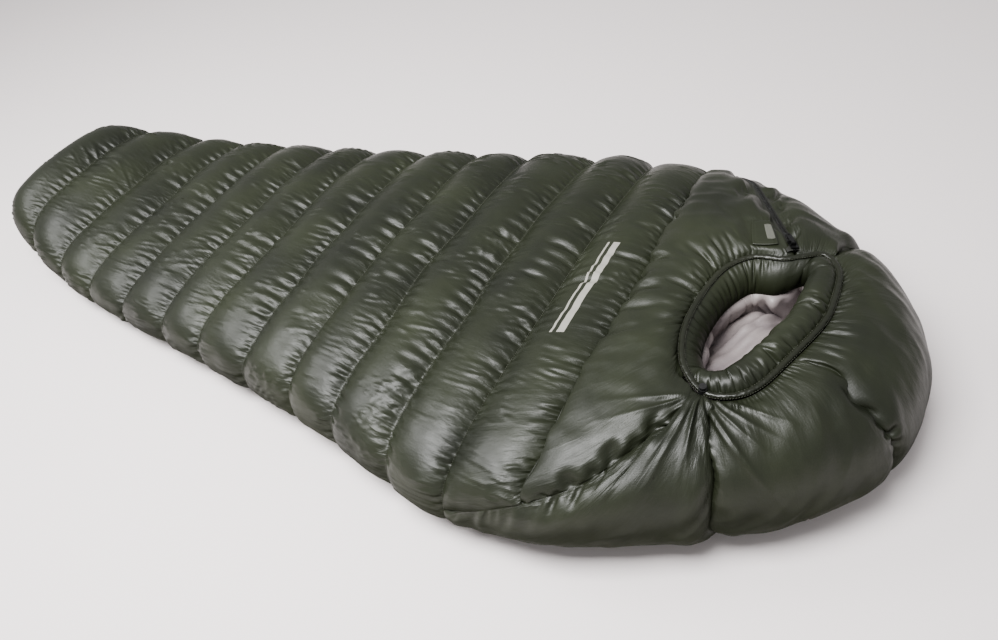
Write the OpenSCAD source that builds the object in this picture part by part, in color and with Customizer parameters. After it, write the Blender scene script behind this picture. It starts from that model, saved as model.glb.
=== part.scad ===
// Down-filled mummy sleeping bag, lying on its back panel.
// +X runs from the foot end to the crown of the hood, +Y is the zip side (the sleeper's
// right), +Z is up. The origin is on the ground under the middle of the bag.

/* [Bag] */
// Length from the foot end to the crown of the hood
bag_len = 2100; // [2060:10:2140]
// Outer width across the shoulders
shoulder_w = 886; // [876:2:896]
// Loft, as a share of the normal filled height
loft = 1; // [0.98:0.01:1.02]
// Corner fullness of the cross-section (2 is an ellipse)
fullness = 2.95; // [2.6:0.05:3.2]
// Number of down chambers across the top, and across the back
chambers = 13; // [13:1:13]
// Length of one down chamber, from seam to seam
pitch = 133; // [132:0.5:133.5]
// Depth of the seams between chambers, as a share of the height
seam_dip = 0.1; // [0.06:0.01:0.14]

/* [Zip] */
// Width of the tape on one side of the teeth
tape_w = 15.4; // [14:0.2:15.4]
// Length of a slider body
slider_len = 20; // [18:1:22]
// Length of a pull tab
tab_len = 30; // [24:1:32]

/* [Drawcord] */
// Diameter of the drawcord round the face opening
cord_d = 3.2; // [2.8:0.1:3.4]
// Travel of the cord lock's button
button_travel = 2.5; // [2:0.1:2.5]

/* [Hidden] */

shell_green = "#3c4238";
liner_grey = "#a0968f";
trim_black = "#1c1d1c";
slider_black = "#2a2b2c";

su = bag_len / 2100;             // stretch along the bag
sw = shoulder_w / 886;           // stretch across the bag
floor_z = 0;

// Outline of the bag: distance from the foot, half width, height
STATIONS = [
    [0, 104, 100], [30, 155, 165], [100, 200, 190], [350, 275, 138], [750, 325, 156],
    [1150, 378, 190], [1450, 443, 200], [1530, 441, 206], [1700, 406, 230], [1900, 292, 246],
    [2030, 190, 232], [2080, 112, 200], [2100, 56, 130]];

// Rim of the face opening, from the left corner round the chin to the forehead
RIM = [
    [1820, -174], [1779, -139], [1757, -90], [1749, -36], [1753, 32], [1767, 86],
    [1800, 121], [1846, 128], [1872, 143], [1905, 161], [1935, 128], [1944, 62],
    [1941, 5], [1917, -74], [1892, -138], [1862, -168]];
// Inner edge of the padding that lines the rim, point for point
MUFF_EDGE = [
    [1815, -134], [1793, -122], [1772, -84], [1764, -34], [1768, 28], [1781, 74],
    [1806, 104], [1845, 110], [1864, 122], [1882, 131], [1897, 110], [1896, 60],
    [1890, 8], [1867, -66], [1850, -104], [1835, -126]];
rim_steps = 3;                   // points on the curve for each rim point
rim_n = len(RIM) * rim_steps;
channel_r = 4.5;                 // fabric tunnel that holds the drawcord
channel_bore_r = 3;
rim_gap = 8.5;                   // from the rim line to the hood panels
muff_gap = 8;                    // from the rim line to the muff

// Route of the zip: a straight side stretch, the shoulder curve, a straight neck stretch
ZIP = [
    [340, 274, 70], [1150, 378, 86], [1250, 398, 90], [1350, 421, 95], [1450, 435, 99],
    [1530, 435, 105], [1600, 434, 122], [1660, 411, 154], [1705, 377, 186],
    [1742, 328, 210], [1860, 149, 243]];
// Outward direction of the zip at those points
ZIP_OUT = [
    [-0.13, 1, 0], [-0.13, 1, 0], [-0.18, 1, 0.02], [-0.2, 1, 0.05], [-0.1, 1, 0.12],
    [0.05, 1, 0.3], [0.1, 1, 0.55], [0.1, 0.9, 0.9], [0.08, 0.6, 1],
    [0.02, 0.3, 1], [0.02, 0.3, 1]];

// Seam from the left shoulder up to the left corner of the face opening
COLLAR = [[1815, -190], [1783, -258], [1735, -335], [1655, -397], [1532, -438]];
// Seam down the left side of the hood, from the same corner
TEMPLE = [[1838, -186], [1852, -228], [1864, -262], [1873, -285], [1880, -301]];

coil_half = 3.6;                 // half width of the closed teeth
coil_gap = 0.6;                  // half the slot that the slider's bridge runs in
coil_t = 1.3;                    // half thickness of the teeth
tape_t = 0.75;                   // half thickness of the tape and the shell sewn to it
plate_in = 1.9;                  // slider plates, from the middle plane
plate_out = 3.4;
flange_in = 1.15;                // slider's side flanges, from the middle plane
flange_t = 1.6;
slider_w = 13;
bridge_w = 0.7;                  // web between the two plates, in the slot between the coils
pin_r = 0.9;
eye_r = 2.2;
pin_h = plate_out + eye_r + 0.3; // pull tab's pin, from the middle plane
stop_len = 3;
liner_t = 1;
liner_gap = 0.3;
wall_t = 0.6;
wall_gap = 0.9;                  // from a seam plane to the chamber beside it

// ---- small helpers ----
function X(u) = (u - 1050) * su;
function Y(y) = y * sw;
function unit(v) = v / norm(v);
function flat(rows) = [for (r = rows) each r];
function mix(a, b, t) = a + (b - a) * t;
function clamped(i) = max(0, min(len(STATIONS) - 1, i));

// ---- outline functions ----
function span(u, i = 0) = (i >= len(STATIONS) - 2 || u < STATIONS[i + 1][0]) ? i : span(u, i + 1);
function slope(i, k) = let(a = clamped(i - 1), b = clamped(i + 1))
    (STATIONS[b][k] - STATIONS[a][k]) / (STATIONS[b][0] - STATIONS[a][0]);
function profile(u, k) = let(
    i = span(u),
    a = STATIONS[i],
    b = STATIONS[i + 1],
    w = b[0] - a[0],
    t = (u - a[0]) / w)
    a[k] * (1 + 2 * t) * (1 - t) * (1 - t) + slope(i, k) * w * t * (1 - t) * (1 - t)
    + b[k] * t * t * (3 - 2 * t) - slope(i + 1, k) * w * t * t * (1 - t);
function half_w(u) = profile(u, 1);
function mid_z(u) = profile(u, 2) / 2 * loft;
function roundness(u, y) = let(r = min(0.9999, abs(y) / half_w(u)))
    pow(1 - pow(r, fullness), 1 / fullness);
function top_z(u, y, f) = mid_z(u) * (1 + f * roundness(u, y));
function under_z(u, y, f) = max(floor_z, mid_z(u) * (1 - f * roundness(u, y)));
function ceiling_z(u) = (84 + 0.026 * u) * loft;   // over the sleeper
function bed_z(u) = (44 + 0.008 * u) * loft;       // under the sleeper
function seam_u(k) = 36 + pitch * k;               // plane of seam k, 1 to 12
function puff(t) = 1 - seam_dip * pow(abs(2 * t - 1), 2.5);

// ---- a panel between a grid of top points and a grid of bottom points ----
module slab(top, bottom) {
    m = len(top);
    n = len(top[0]);
    b = m * n;
    function id(i, j) = i * n + j;
    polyhedron(points = concat(flat(top), flat(bottom)), convexity = 4, faces = concat(
        [for (i = [0:m - 2], j = [0:n - 2]) each [
            [id(i, j), id(i, j + 1), id(i + 1, j + 1)],
            [id(i, j), id(i + 1, j + 1), id(i + 1, j)],
            [b + id(i, j), b + id(i + 1, j + 1), b + id(i, j + 1)],
            [b + id(i, j), b + id(i + 1, j), b + id(i + 1, j + 1)]]],
        [for (j = [0:n - 2]) each [
            [id(0, j), b + id(0, j), b + id(0, j + 1)],
            [id(0, j), b + id(0, j + 1), id(0, j + 1)],
            [id(m - 1, j), id(m - 1, j + 1), b + id(m - 1, j + 1)],
            [id(m - 1, j), b + id(m - 1, j + 1), b + id(m - 1, j)]]],
        [for (i = [0:m - 2]) each [
            [id(i, 0), id(i + 1, 0), b + id(i + 1, 0)],
            [id(i, 0), b + id(i + 1, 0), b + id(i, 0)],
            [id(i, n - 1), b + id(i, n - 1), b + id(i + 1, n - 1)],
            [id(i, n - 1), b + id(i + 1, n - 1), id(i + 1, n - 1)]]]));
}

// ---- a solid through rings that all have the same number of points ----
module loft_rings(rings, closed = false) {
    m = len(rings);
    n = len(rings[0]);
    last = closed ? m - 1 : m - 2;
    sides = [for (i = [0:last], j = [0:n - 1]) let(
        a = i * n + j,
        b = i * n + (j + 1) % n,
        c = ((i + 1) % m) * n + (j + 1) % n,
        d = ((i + 1) % m) * n + j) each [[a, b, c], [a, c, d]]];
    caps = closed ? [] : [[for (j = [n - 1:-1:0]) j], [for (j = [0:n - 1]) (m - 1) * n + j]];
    polyhedron(points = flat(rings), convexity = 6, faces = concat(sides, caps));
}

// ---- top and back chambers ----
cols = 10;
rows = 4;
function cross(j, edge) = sin(mix(-90, 90, j / cols)) * edge;
function line_y(line, u) = lookup(u, [for (q = line) [q[0], q[1]]]);
top_share = 0.97;                // share of the half width that a top chamber reaches
collar_gap = 6;
zip_gap = 50;                    // from the zip to the top chambers, for the draft tube
function top_left(u) = let(y = top_share * half_w(u))
    u < 1525 ? y : min(y, -line_y(COLLAR, u) - collar_gap);
function top_right(u) = let(y = top_share * half_w(u))
    u < 1500 ? y : min(y, line_y(ZIP, u) - zip_gap);
function chamber_u(k, t) = mix(k == 1 ? 44 : seam_u(k - 1) + wall_gap, seam_u(k) - wall_gap, t);
function across_top(u, j) = mix(-top_left(u), top_right(u), (cross(j, 1) + 1) / 2);

module top_chamber(k) {
    color(shell_green) slab(
        [for (i = [0:rows]) let(u = chamber_u(k, i / rows)) [for (j = [0:cols])
            let(y = across_top(u, j)) [X(u), Y(y), top_z(u, y, puff(i / rows))]]],
        [for (i = [0:rows]) let(u = chamber_u(k, i / rows)) [for (j = [0:cols])
            [X(u), Y(across_top(u, j)), ceiling_z(u)]]]);
}

// The chest chamber ends on the chin side of the face opening
chest_left = [for (i = [0:rows]) let(u = mix(seam_u(12) + wall_gap, 1808, i / rows))
    [u, line_y(COLLAR, u) + 7]];
chest_right = [for (i = [0:rows]) mix([seam_u(12) + wall_gap, 376], [1832, 152], i / rows)];
chin_edge = [for (j = [0:cols]) rim_point(rim_gap, mix(1.9, 20.4, j / cols))];

module chest_chamber() {
    points = [for (i = [0:rows]) [for (j = [0:cols]) let(
        s = j / cols,
        straight = mix(chest_left[i], chest_right[i], s),
        bow = chin_edge[j] - mix(chest_left[rows], chest_right[rows], s))
        straight + bow * pow(i / rows, 1.5)]];
    color(shell_green) slab(
        [for (i = [0:rows]) [for (q = points[i])
            [X(q[0]), Y(q[1]), top_z(q[0], q[1], puff(i / rows))]]],
        [for (i = [0:rows]) [for (q = points[i]) [X(q[0]), Y(q[1]), ceiling_z(q[0])]]]);
}

back_share = 0.93;               // share of the half width that a back chamber reaches
sag = 1.06;                      // how much the back is pressed onto the ground
module back_chamber(k) {
    color(shell_green) slab(
        [for (i = [0:rows]) let(u = chamber_u(k, i / rows)) [for (j = [0:cols])
            [X(u), Y(cross(j, back_share * half_w(u))), bed_z(u)]]],
        [for (i = [0:rows]) let(u = chamber_u(k, i / rows)) [for (j = [0:cols])
            let(y = cross(j, back_share * half_w(u)))
            [X(u), Y(y), under_z(u, y, sag * puff(i / rows))]]]);
}

// ---- foot end ----
function section(u) = [for (a = [0:18:342]) let(c = cos(a), s = sin(a), e = 2 / fullness) [
    X(u),
    Y(half_w(u) * sign(c) * pow(abs(c), e)),
    mid_z(u) * (1 + sign(s) * pow(abs(s), e))]];
module foot_end_panel() {
    color(shell_green) loft_rings([for (u = [0, 8, 20, 42]) section(u)]);
}

// ---- side wall on the left, and the draft tube behind the zip on the right ----
side_t = 70;
side_gap = 0.5;
// a block along one side, from u = first to last; side is 1 on the right and -1 on the left
module side_block(first, last, steps, side, tops) {
    us = [for (i = [0:steps]) mix(first, last, i / steps)];
    ts = side > 0 ? [1, 0.5, 0] : [0, 0.5, 1];
    color(shell_green) slab(
        [for (i = [0:steps]) [for (t = ts)
            [X(us[i]), side * Y(half_w(us[i]) - side_t * t), tops[i]]]],
        [for (u = us) [for (t = ts)
            [X(u), side * Y(half_w(u) - side_t * t), bed_z(u) + side_gap]]]);
}
module left_side_baffle() {
    side_block(46, 1524, 14, -1, [for (i = [0:14]) ceiling_z(mix(46, 1524, i / 14)) - side_gap]);
}
module right_side_baffle() {
    side_block(46, 328, 4, 1, [for (i = [0:4]) ceiling_z(mix(46, 328, i / 4)) - side_gap]);
}
// fills the wall below the stretch where the zip climbs over the shoulder
module right_shoulder_baffle() {
    side_block(1545, 1738, 4, 1, [80, 84, 92, 112, 148] * loft);
}

// ---- the zip: frames along its route ----
function zip_at(i) = [X(ZIP[i][0]), Y(ZIP[i][1]), ZIP[i][2] * loft];
zip_n = len(ZIP) - 1;
function zip_along(i) = i == 0 ? unit(zip_at(1) - zip_at(0))
    : i == zip_n ? unit(zip_at(zip_n) - zip_at(zip_n - 1))
    : i == 1 ? zip_along(0)
    : i == zip_n - 1 ? zip_along(zip_n)
    : unit(zip_at(i + 1) - zip_at(i - 1));
function zip_out(i) = let(d = zip_along(i), n = ZIP_OUT[i]) unit(n - d * (n * d));
function zip_up(i) = cross_product(zip_along(i), zip_out(i));
function cross_product(a, b) = [
    a[1] * b[2] - a[2] * b[1],
    a[2] * b[0] - a[0] * b[2],
    a[0] * b[1] - a[1] * b[0]];
function zip_corner(i, across, out) = zip_at(i) + zip_up(i) * across + zip_out(i) * out;

// a strip along the zip between two widths and two depths
module zip_strip(lo, hi, inner, outer) {
    loft_rings([for (i = [0:zip_n]) [
        zip_corner(i, lo, inner), zip_corner(i, lo, outer),
        zip_corner(i, hi, outer), zip_corner(i, hi, inner)]]);
}

tube_r = 17;
tube_in = 25;                    // middle of the draft tube, inside the zip
function squarish(v) = tube_r * sign(v) * sqrt(abs(v));
module right_draft_tube() {
    color(shell_green) loft_rings([for (i = [0:zip_n]) [for (a = [0:45:315])
        zip_corner(i, squarish(cos(a)), squarish(sin(a)) - tube_in)]]);
}

// ---- mesh walls between the chambers ----
module cross_wall(u, lo, hi) {
    translate([X(u) - wall_t / 2, 0, 0]) rotate([90, 0, 90]) linear_extrude(wall_t)
        polygon(concat([for (p = lo) p], [for (i = [len(hi) - 1:-1:0]) hi[i]]));
}
module top_baffle_walls() {
    color(liner_grey) for (k = [1:chambers - 1]) {
        u = seam_u(k);
        ys = [for (j = [0:cols]) mix(-top_left(u), top_right(u), (cross(j, 0.99) + 1) / 2)];
        cross_wall(u, [for (y = ys) [Y(y), ceiling_z(u) + 1]],
            [for (y = ys) [Y(y), top_z(u, y, 1 - seam_dip) - 1]]);
    }
}
module back_baffle_walls() {
    color(liner_grey) for (k = [1:chambers - 1]) {
        u = seam_u(k);
        ys = [for (j = [0:cols]) cross(j, 0.92 * half_w(u))];
        cross_wall(u, [for (y = ys) [Y(y), under_z(u, y, sag * (1 - seam_dip)) + 1]],
            [for (y = ys) [Y(y), bed_z(u) - 1]]);
    }
}

// ---- rim curve of the face opening ----
function ring_at(list, s) = let(
    n = len(list),
    i = floor(s),
    t = s - i,
    a = list[(i + n - 1) % n],
    b = list[i % n],
    c = list[(i + 1) % n],
    d = list[(i + 2) % n])
    0.5 * (2 * b + (c - a) * t + (2 * a - 5 * b + 4 * c - d) * t * t + (3 * b - a - 3 * c + d) * t * t * t);
function rim_curve(i) = ring_at(RIM, ((i + rim_n) % rim_n) / rim_steps);
function rim_side(i) = let(d = unit(rim_curve(i + 0.5) - rim_curve(i - 0.5))) [-d[1], d[0]];
// a point beside the rim line, outwards for a positive distance
function rim_point(out, i) = rim_curve(i) + rim_side(i) * out;
function rim_z(i) = let(q = rim_curve(i)) top_z(q[0], q[1], 0.97);
function muff_curve(i) = ring_at(MUFF_EDGE, i / rim_steps);
// an oval ring round the rim between an outer and an inner point
function oval(p, q, z, h, sides) = [for (j = [0:sides - 1]) let(a = -360 * j / sides)
    [X(mix(p[0], q[0], 0.5 + 0.5 * cos(a))), Y(mix(p[1], q[1], 0.5 + 0.5 * cos(a))), z + h * sin(a)]];

module face_muff() {
    color(shell_green) loft_rings([for (i = [0:rim_n - 1])
        oval(muff_curve(i), rim_point(-muff_gap, i), rim_z(i) - 10, 14, 8)], closed = true);
}
module draft_collar() {
    color(shell_green) loft_rings([for (i = [3:1:23])
        oval(rim_point(-28, i), rim_point(4, i), 184, 19, 8)]);
}
cord_drop = 2;
module rim_tube(r, first, last, sides, closed) {
    loft_rings([for (i = [first:last])
        oval(rim_point(-r, i), rim_point(r, i), rim_z(i) - cord_drop, r, sides)], closed = closed);
}
module rim_channel() {
    color(shell_green) difference() {
        rim_tube(channel_r, 1, rim_n - 1, 8, false);
        rim_tube(channel_bore_r, 0, rim_n - 1, 8, true);
    }
}
module drawcord() {
    color(trim_black) rim_tube(cord_d / 2, 0, rim_n - 1, 8, true);
}

// ---- cord lock at the left corner of the opening ----
lock_r = 6.5;
lock_bore_r = 4.8;
stem_r = 4.5;
hole_r = 2.9;
lock_at = [X(RIM[0][0]), Y(RIM[0][1]), rim_z(0) - cord_drop];
lock_turn = let(d = rim_curve(0.5) - rim_curve(-0.5)) atan2(d[1] * sw, d[0] * su);
stem_low = -4.2;
cavity_low = -9;
module at_lock() { translate(lock_at) rotate([0, 0, lock_turn]) children(); }
module cord_lock_body() {
    color(trim_black) at_lock() difference() {
        translate([0, 0, -10.5]) cylinder(r = lock_r, h = 18.5, $fn = 48);
        translate([0, 0, cavity_low]) cylinder(r = lock_bore_r, h = 20, $fn = 48);
        rotate([0, 90, 0]) cylinder(r = hole_r, h = 20, center = true, $fn = 32);
    }
}
module cord_lock_button() {
    color(trim_black) at_lock() difference() {
        union() {
            translate([0, 0, stem_low]) cylinder(r = stem_r, h = 11.5 - stem_low, $fn = 48);
            translate([0, 0, 11]) cylinder(r = 5.8, h = 2.6, $fn = 48);
        }
        rotate([0, 90, 0]) cylinder(r = hole_r, h = 20, center = true, $fn = 32);
        translate([0, 0, button_travel]) rotate([0, 90, 0])
            cylinder(r = hole_r, h = 20, center = true, $fn = 32);
        translate([-10, -hole_r, 0]) cube([20, 2 * hole_r, button_travel]);
    }
}
spring_r = 3.2;
wire_r = 0.35;
spring_turns = 3;
module cord_lock_spring() {
    rise = stem_low - cavity_low - 2 * wire_r - 0.2;
    color("silver") at_lock() loft_rings([for (i = [0:12 * spring_turns]) let(
        a = 30 * i,
        z = cavity_low + wire_r + 0.1 + rise * i / (12 * spring_turns))
        [for (b = [0:60:300]) [
            (spring_r + wire_r * cos(b)) * cos(a),
            (spring_r + wire_r * cos(b)) * sin(a),
            z + wire_r * sin(b)]]]);
}

// ---- hood ----
// a padded block between an inner line and an outer line, from the bed to the shell
module hood_block(inner, outer, steps = 3) {
    n = len(inner) - 1;
    points = [for (i = [0:steps]) [for (j = [0:n]) mix(inner[j], outer[j], i / steps)]];
    color(shell_green) slab(
        [for (i = [0:steps]) [for (q = points[i])
            [X(q[0]), Y(q[1]), top_z(q[0], q[1], puff(0.15 + 0.5 * i / steps))]]],
        [for (i = [0:steps]) [for (q = points[i]) [X(q[0]), Y(q[1]), bed_z(q[0]) + side_gap]]]);
}
function edge(u, side) = [u, side * 0.995 * half_w(u)];
block_gap = 1.5;

module hood_left_cheek() {
    // columns run from the shoulder seam to the temple seam
    a = [for (q = COLLAR) q + [2, -2]];
    b = [for (q = TEMPLE) q - [block_gap, 0]];
    n = 4;
    grid = [for (i = [0:n]) [for (j = [0:n]) let(q = mix(a[i], b[i], j / n))
        i == n ? edge(q[0], -1) : q]];
    color(shell_green) slab(
        [for (i = [0:n]) [for (q = grid[i])
            [X(q[0]), Y(q[1]), top_z(q[0], q[1], puff(0.1 + 0.4 * i / n))]]],
        [for (i = [0:n]) [for (q = grid[i]) [X(q[0]), Y(q[1]), bed_z(q[0]) + side_gap]]]);
}
module hood_left_crown() {
    n = 8;
    inner = concat([TEMPLE[0] + [block_gap, 0]],
        [for (j = [1:n]) rim_point(rim_gap, mix(44.5, 37.5, j / n))]);
    outer = [for (j = [0:n]) edge(mix(TEMPLE[4][0] + block_gap, 2088, pow(j / n, 0.8)), -1)];
    hood_block(inner, [for (j = [0:n]) j == n ? [2100, -30] : outer[j]]);
}
module hood_right_crown() {
    n = 8;
    inner = [for (j = [0:n]) rim_point(rim_gap, mix(37.3, 29.5, j / n))];
    outer = [for (j = [0:n]) edge(mix(2092, 1960, pow(j / n, 1.3)), 1)];
    hood_block(inner, [for (j = [0:n]) j == 0 ? [2100, -27] : outer[j]]);
}
module hood_right_cheek() {
    n = 5;
    inner = [for (j = [0:n]) rim_point(rim_gap, mix(29.3, 26.5, j / n))];
    outer = [for (j = [0:n]) edge(mix(1958, 1742, j / n), 1)];
    hood_block(inner, outer);
}
module hood_back_panel() {
    us = [for (i = [0:7]) mix(seam_u(chambers) + wall_gap, 2092, i / 7)];
    color(shell_green) slab(
        [for (u = us) [for (j = [0:cols]) [X(u), Y(cross(j, back_share * half_w(u))), bed_z(u)]]],
        [for (i = [0:7]) [for (j = [0:cols]) let(u = us[i], y = cross(j, back_share * half_w(u)))
            [X(u), Y(y), under_z(u, y, sag * puff(0.15 + 0.5 * i / 7))]]]);
}

// ---- lining ----
module liner_sheet(first, last, z_of, lift) {
    us = [for (i = [0:12]) mix(first, last, i / 12)];
    low = [for (u = us) [for (s = [-1, 1])
        [X(u), Y(s * (half_w(u) - side_t - 6)), (z_of == "top" ? ceiling_z(u) : bed_z(u)) + lift]]];
    color(liner_grey) slab([for (r = low) [for (q = r) q + [0, 0, liner_t]]], low);
}
module liner_top() { liner_sheet(50, 1738, "top", -liner_gap - liner_t); }
module liner_back() { liner_sheet(50, 1738, "bed", liner_gap); }
module hood_liner() {
    color(liner_grey) translate([0, 0, 60.5 * loft]) linear_extrude(liner_t)
        polygon([for (i = [0:rim_n - 1]) let(q = rim_point(rim_gap - 6, i)) [X(q[0]), Y(q[1])]]);
}

// ---- zip ----
module zip_tape_top() { color(trim_black) zip_strip(coil_half, coil_half + tape_w, -tape_t, tape_t); }
module zip_tape_back() { color(trim_black) zip_strip(-coil_half - tape_w, -coil_half, -tape_t, tape_t); }
module zip_coil_top() { color(trim_black) zip_strip(coil_gap, coil_half, -coil_t, coil_t); }
module zip_coil_back() { color(trim_black) zip_strip(-coil_half, -coil_gap, -coil_t, coil_t); }

// places its children at a point of the zip: x along it, y towards the back panel, z out
module on_zip(i, along) {
    d = zip_along(i);
    n = zip_out(i);
    c = -zip_up(i);
    p = zip_at(i) + d * along;
    multmatrix([
        [d[0], c[0], n[0], p[0]],
        [d[1], c[1], n[1], p[1]],
        [d[2], c[2], n[2], p[2]],
        [0, 0, 0, 1]]) children();
}
upper_at = -slider_len / 2 - 2;   // middle of the upper slider, from the end of the zip
lower_at = slider_len / 2 + 2;    // middle of the lower slider, from the start of the zip

module zip_end_stops() {
    color(slider_black) {
        for (s = [-1, 1]) {
            on_zip(zip_n, stop_len / 2) translate([0, s * 2.4, 0]) cube([stop_len, 3, 3], center = true);
            on_zip(0, -stop_len / 2) translate([0, s * 2.4, 0]) cube([stop_len, 3, 3], center = true);
        }
    }
}

// slider body; nose is 1 when the coils part towards +x and -1 towards -x
ear_in = 3;                      // the two ears that hold the pull tab's pin
ear_t = 1.4;
module slider(nose) {
    color(slider_black) {
        for (s = [-1, 1]) {
            translate([-slider_len / 2, -slider_w / 2, s > 0 ? plate_in : -plate_out])
                cube([slider_len, slider_w, plate_out - plate_in]);
            for (q = [-1, 1])
                translate([-slider_len / 2, q > 0 ? slider_w / 2 - flange_t : -slider_w / 2,
                        s > 0 ? flange_in : -plate_in])
                    cube([slider_len, flange_t, plate_in - flange_in]);
        }
        translate([nose * (slider_len / 2 - 2.5) - 1.5, -bridge_w / 2, -plate_in])
            cube([3, bridge_w, 2 * plate_in]);
        for (q = [-1, 1]) {
            translate([-2.2, q > 0 ? ear_in : -ear_in - ear_t, plate_out - 0.1])
                cube([4.4, ear_t, 2.6]);
            translate([0, q > 0 ? ear_in : -ear_in - ear_t, pin_h]) rotate([-90, 0, 0])
                cylinder(r = eye_r, h = ear_t, $fn = 32);
        }
        translate([0, -ear_in - ear_t, pin_h]) rotate([-90, 0, 0])
            cylinder(r = pin_r, h = 2 * (ear_in + ear_t), $fn = 32);
    }
}
// pull tab, lying back along +x or -x from its eye
module pull_tab(way) {
    color(trim_black) translate([0, 0, pin_h]) difference() {
        union() {
            rotate([90, 0, 0]) cylinder(r = eye_r, h = 5.4, center = true, $fn = 32);
            translate([way > 0 ? 0 : -8, -2.2, -0.8]) cube([8, 4.4, 1.6]);
            translate([way > 0 ? 6 : -tab_len + 4.5, -4.5, -0.8]) cube([tab_len - 10.5, 9, 1.6]);
            translate([way * (tab_len - 4.5), 0, -0.8]) cylinder(r = 4.5, h = 1.6, $fn = 32);
        }
        rotate([90, 0, 0]) cylinder(r = pin_r + 0.15, h = 20, center = true, $fn = 32);
        translate([way * (tab_len - 4.5), 0, -2]) cylinder(r = 2, h = 4, $fn = 32);
    }
}
module zip_slider_upper() { on_zip(zip_n, upper_at) slider(1); }
module zip_slider_lower() { on_zip(0, lower_at) slider(-1); }
module pull_tab_upper() { on_zip(zip_n, upper_at) pull_tab(-1); }
module pull_tab_lower() { on_zip(0, lower_at) pull_tab(1); }

// ---- hook-and-loop flap beside the top of the zip ----
FLAP = [[1792, 137], [1772, 197], [1802, 207], [1834, 152]];
flap_t = 2.4;
flap_z = 245;
module zip_guard_flap() {
    color(shell_green) translate([0, 0, flap_z * loft]) linear_extrude(flap_t)
        polygon([for (q = FLAP) [X(q[0]), Y(q[1])]]);
}

foot_end_panel();
top_chamber(1);  // top_chamber_01
top_chamber(2);  // top_chamber_02
top_chamber(3);  // top_chamber_03
top_chamber(4);  // top_chamber_04
top_chamber(5);  // top_chamber_05
top_chamber(6);  // top_chamber_06
top_chamber(7);  // top_chamber_07
top_chamber(8);  // top_chamber_08
top_chamber(9);  // top_chamber_09
top_chamber(10);  // top_chamber_10
top_chamber(11);  // top_chamber_11
top_chamber(12);  // top_chamber_12
chest_chamber();  // top_chamber_13
back_chamber(1);  // back_chamber_01
back_chamber(2);  // back_chamber_02
back_chamber(3);  // back_chamber_03
back_chamber(4);  // back_chamber_04
back_chamber(5);  // back_chamber_05
back_chamber(6);  // back_chamber_06
back_chamber(7);  // back_chamber_07
back_chamber(8);  // back_chamber_08
back_chamber(9);  // back_chamber_09
back_chamber(10);  // back_chamber_10
back_chamber(11);  // back_chamber_11
back_chamber(12);  // back_chamber_12
back_chamber(13);  // back_chamber_13
left_side_baffle();
right_side_baffle();
right_shoulder_baffle();
right_draft_tube();
top_baffle_walls();
back_baffle_walls();
hood_left_cheek();
hood_left_crown();
hood_right_crown();
hood_right_cheek();
hood_back_panel();
face_muff();
draft_collar();
rim_channel();
drawcord();
cord_lock_body();
cord_lock_button();
cord_lock_spring();
liner_top();
liner_back();
hood_liner();
zip_tape_top();
zip_tape_back();
zip_coil_top();
zip_coil_back();
zip_end_stops();
zip_slider_upper();
zip_slider_lower();
pull_tab_upper();
pull_tab_lower();
zip_guard_flap();
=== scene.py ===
"""Looks of the down mummy sleeping bag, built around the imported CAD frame.

Lengths are in metres. "u" is the distance from the foot end; the shared frame's x is u - MIDDLE.
Every panel of the shell is a grid of cloth that is sewn down along its seams, blown up by its
down filling and settled by the cloth solver in settle().
"""

import math

import bmesh
import bpy
import numpy as np
from mathutils import Matrix, Vector


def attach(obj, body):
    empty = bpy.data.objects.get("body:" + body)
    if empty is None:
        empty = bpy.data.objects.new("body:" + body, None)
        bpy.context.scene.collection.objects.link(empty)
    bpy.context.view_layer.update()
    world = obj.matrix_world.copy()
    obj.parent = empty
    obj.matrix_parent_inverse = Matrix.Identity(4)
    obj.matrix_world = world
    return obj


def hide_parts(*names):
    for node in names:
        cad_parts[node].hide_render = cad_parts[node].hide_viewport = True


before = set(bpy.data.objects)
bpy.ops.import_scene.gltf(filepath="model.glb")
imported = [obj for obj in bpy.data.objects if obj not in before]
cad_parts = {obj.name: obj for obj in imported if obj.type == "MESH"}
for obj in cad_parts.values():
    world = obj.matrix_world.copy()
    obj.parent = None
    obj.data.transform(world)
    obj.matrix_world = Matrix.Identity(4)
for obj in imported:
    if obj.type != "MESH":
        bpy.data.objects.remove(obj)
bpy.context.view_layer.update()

MIDDLE = 1.05
INNER = (slice(None), slice(1, -1), slice(1, -1))       # a grid without its four sides
UP = np.array([[0.0], [0.0], [1.0]])
FAR = 1.0                        # stands for "no seam near"

# ---------------------------------------------------------------- outline of the bag
# distance from the foot, half width, height
PROFILE = np.array([
    [0.00, 0.104, 0.100], [0.03, 0.155, 0.165], [0.10, 0.200, 0.190], [0.35, 0.275, 0.138],
    [0.75, 0.325, 0.156], [1.15, 0.378, 0.192], [1.45, 0.443, 0.200], [1.53, 0.441, 0.206],
    [1.70, 0.406, 0.230], [1.90, 0.292, 0.246], [2.03, 0.190, 0.234], [2.10, 0.100, 0.226]])
WIDTH, HEIGHT = 1, 2
POWER = 2.95                     # fullness of the cross-section; 2 is an ellipse
SAG = 1.06                       # the back is pressed onto the ground by this much
HOOD_U = 1.80                    # beyond this the outline turns round the crown
# direction from the middle of the hood in degrees, distance to its outline
HOOD_OUTLINE = np.array([[0, 0.300], [22, 0.3015], [40, 0.298], [71, 0.309], [90, 0.352]])
FLOOR_SHARE = 0.62               # the left seam lies this far out, under the bag
GROUND = 0.002
SEAMS = [0.010, 0.169, 0.304, 0.428, 0.562, 0.706, 0.836, 0.977, 1.112, 1.231, 1.369, 1.497, 1.633]
SEAM_DEPTH = 0.0165
SEAM_LEAST = 0.002               # depth of the seams underneath
COLLAR_SEAM = 0.25               # depth of the collar's seam, as a share of the others


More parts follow.
